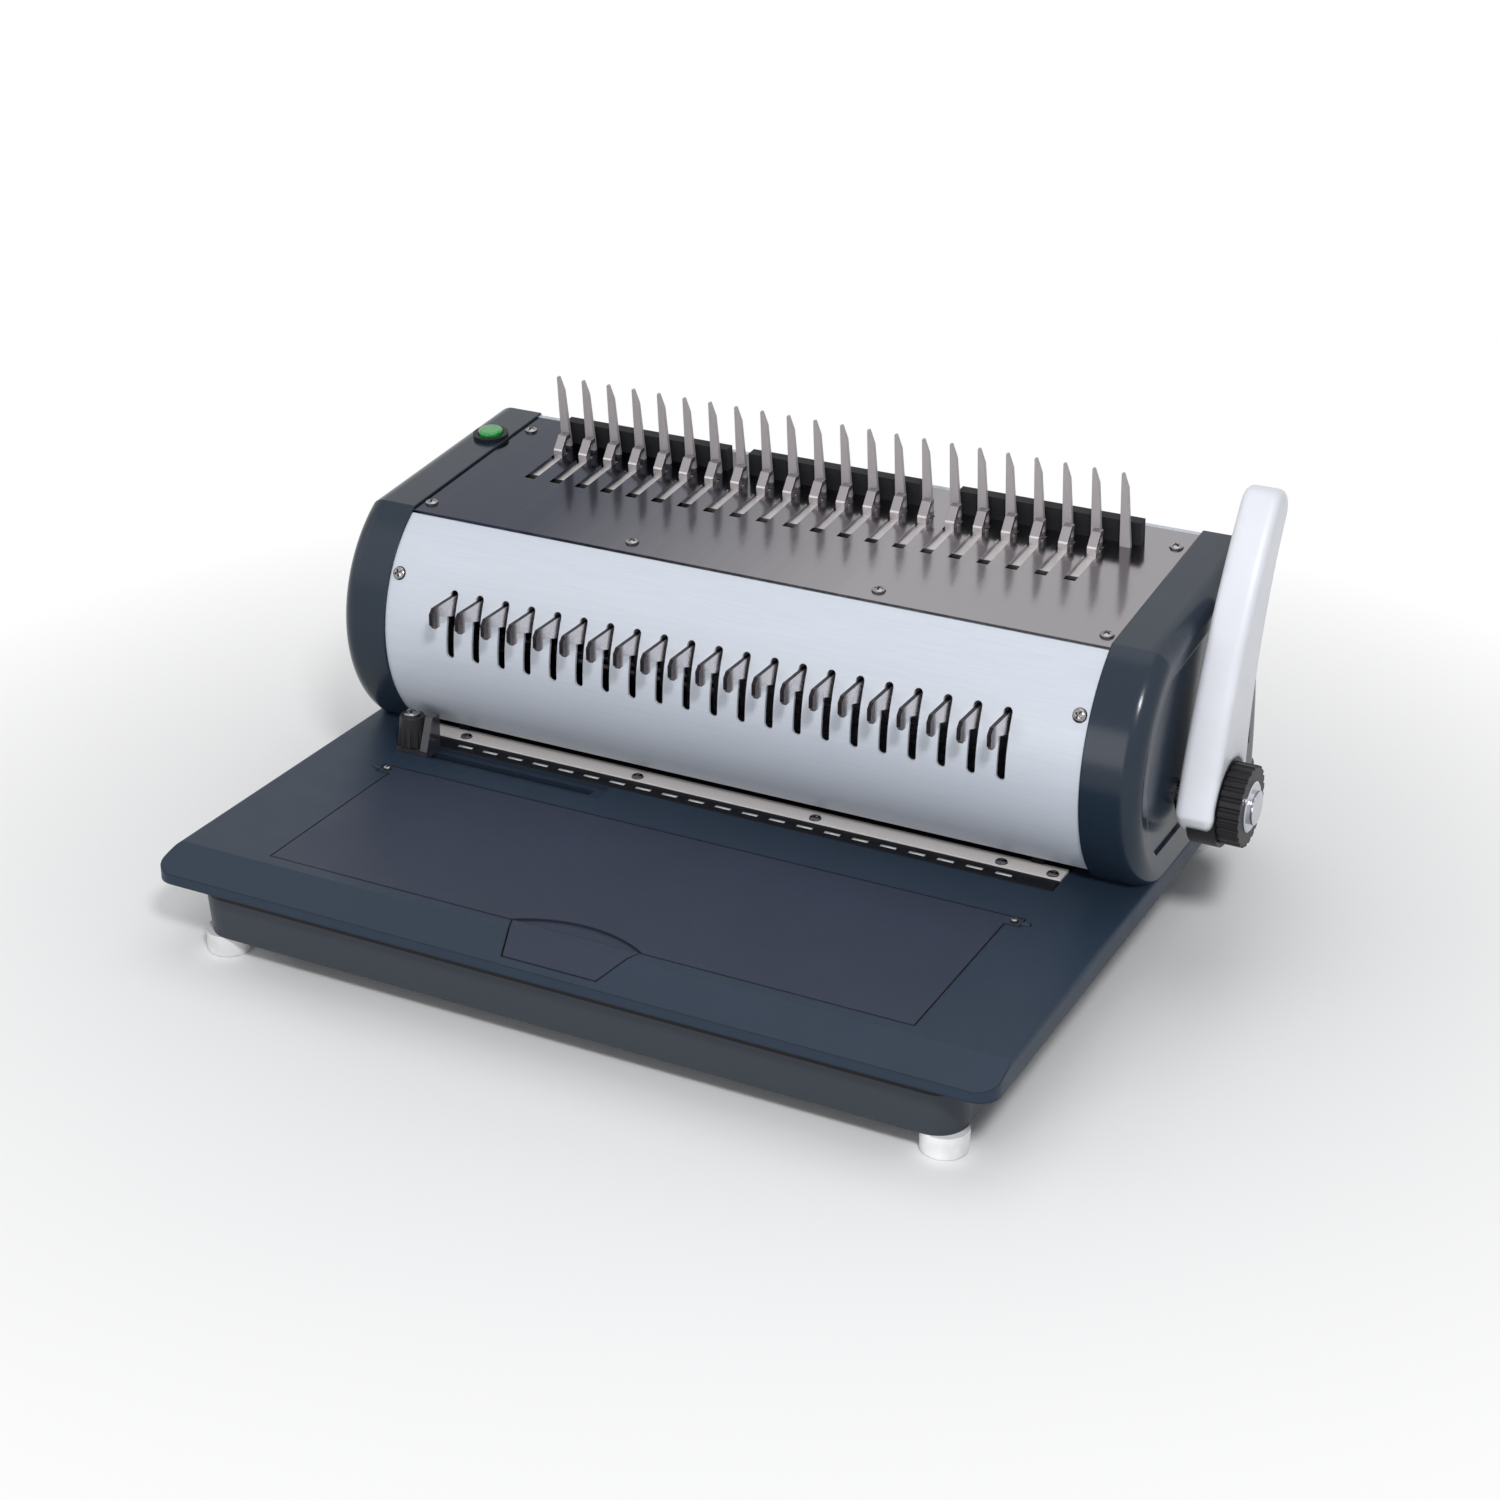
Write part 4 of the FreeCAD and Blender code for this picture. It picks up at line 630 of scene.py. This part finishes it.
# Floor, light and camera
def seen_white(tree):
    """One for rays that look at the set straight, mirrored or through glass; zero for rays of light."""
    path = tree.nodes.new("ShaderNodeLightPath")
    total = path.outputs["Is Camera Ray"]
    for name in ("Is Glossy Ray", "Is Transmission Ray"):
        add = tree.nodes.new("ShaderNodeMath")
        add.use_clamp = True
        tree.links.new(total, add.inputs[0])
        tree.links.new(path.outputs[name], add.inputs[1])
        total = add.outputs["Value"]
    return total


def mix_shaders(tree, share, first, second, output):
    """Put a mix of two shaders out, which is all the second where the share is one."""
    mix = tree.nodes.new("ShaderNodeMixShader")
    tree.links.new(share, mix.inputs["Fac"])
    tree.links.new(first, mix.inputs[1])
    tree.links.new(second, mix.inputs[2])
    tree.links.new(mix.outputs["Shader"], tree.nodes[output].inputs["Surface"])


def floor_paper():
    """Matt pale paper that is seen as white further out."""
    f = Finish("floor_pale")
    f.feed("Base Color", f.level(f.noise(2, 2), *FLOOR_PALE))
    f.fix(rough=FLOOR_ROUGH)
    away = f.node("VectorMath", operation="LENGTH")
    f.link(f.where, away.inputs[0])
    share = f.maths("MULTIPLY", f.span(away.outputs["Value"], *FLOOR_FADE), seen_white(f.tree))
    white = f.node("Emission")
    mix_shaders(f.tree, share, f.shader.outputs["BSDF"], white.outputs["Emission"], "Material Output")
    return f.material


def pale_floor():
    """Pale floor that keeps the shadow round the machine."""
    bm = bmesh.new()
    bmesh.ops.create_circle(bm, cap_ends=True, segments=FLOOR_SEGMENTS, radius=FLOOR_RADIUS)
    floor = new_object("floor", bm, floor_paper())


def surroundings():
    """White as they are seen, with a weaker, cooler light from them on the machine."""
    world = bpy.data.worlds.new("studio")
    world.use_nodes = True
    bpy.context.scene.world = world
    tree = world.node_tree
    light = tree.nodes["Background"]
    light.inputs["Color"].default_value = SKY_COLOUR
    light.inputs["Strength"].default_value = SKY_STRENGTH
    white = tree.nodes.new("ShaderNodeBackground")
    white.inputs["Color"].default_value = (1, 1, 1, 1)
    mix_shaders(tree, seen_white(tree), light.outputs["Background"], white.outputs["Background"],
                "World Output")


def lamps():
    """Square lamps, all aimed at the machine."""
    for name, place, size, power in LAMPS:
        light = bpy.data.lights.new(name, "AREA")
        light.energy = power
        light.size = size
        lamp = bpy.data.objects.new(name, light)
        lamp.location = place
        lamp.rotation_euler = (LAMP_AIM - Vector(place)).to_track_quat("-Z", "Y").to_euler()
        bpy.context.scene.collection.objects.link(lamp)


def photo_camera():
    """Camera at the photograph's place, built from its azimuth, elevation and roll."""
    az, el = CAM_AZIMUTH, CAM_ELEVATION
    back = Vector((math.sin(az) * math.cos(el), -math.cos(az) * math.cos(el), math.sin(el)))
    right = Vector((math.cos(az), math.sin(az), 0))
    level = Matrix((right, back.cross(right), back)).transposed().to_4x4()
    data = bpy.data.cameras.new("photo_camera")
    data.sensor_width = CAM_SENSOR
    data.lens = CAM_LENS
    data.shift_x, data.shift_y = CAM_SHIFT
    camera = bpy.data.objects.new("photo_camera", data)
    camera.matrix_world = Matrix.Translation(CAM_PLACE) @ level @ Matrix.Rotation(CAM_ROLL, 4, "Z")
    bpy.context.scene.collection.objects.link(camera)
    bpy.context.scene.camera = camera


bpy.context.view_layer.update()
looks = finishes()
dress_nodes(looks)
screws(looks)
dashes(looks)
hub_trim(looks)
inlet_trim(looks)
photo_camera()
pale_floor()
surroundings()
lamps()
bpy.context.scene.view_settings.view_transform = "Standard"
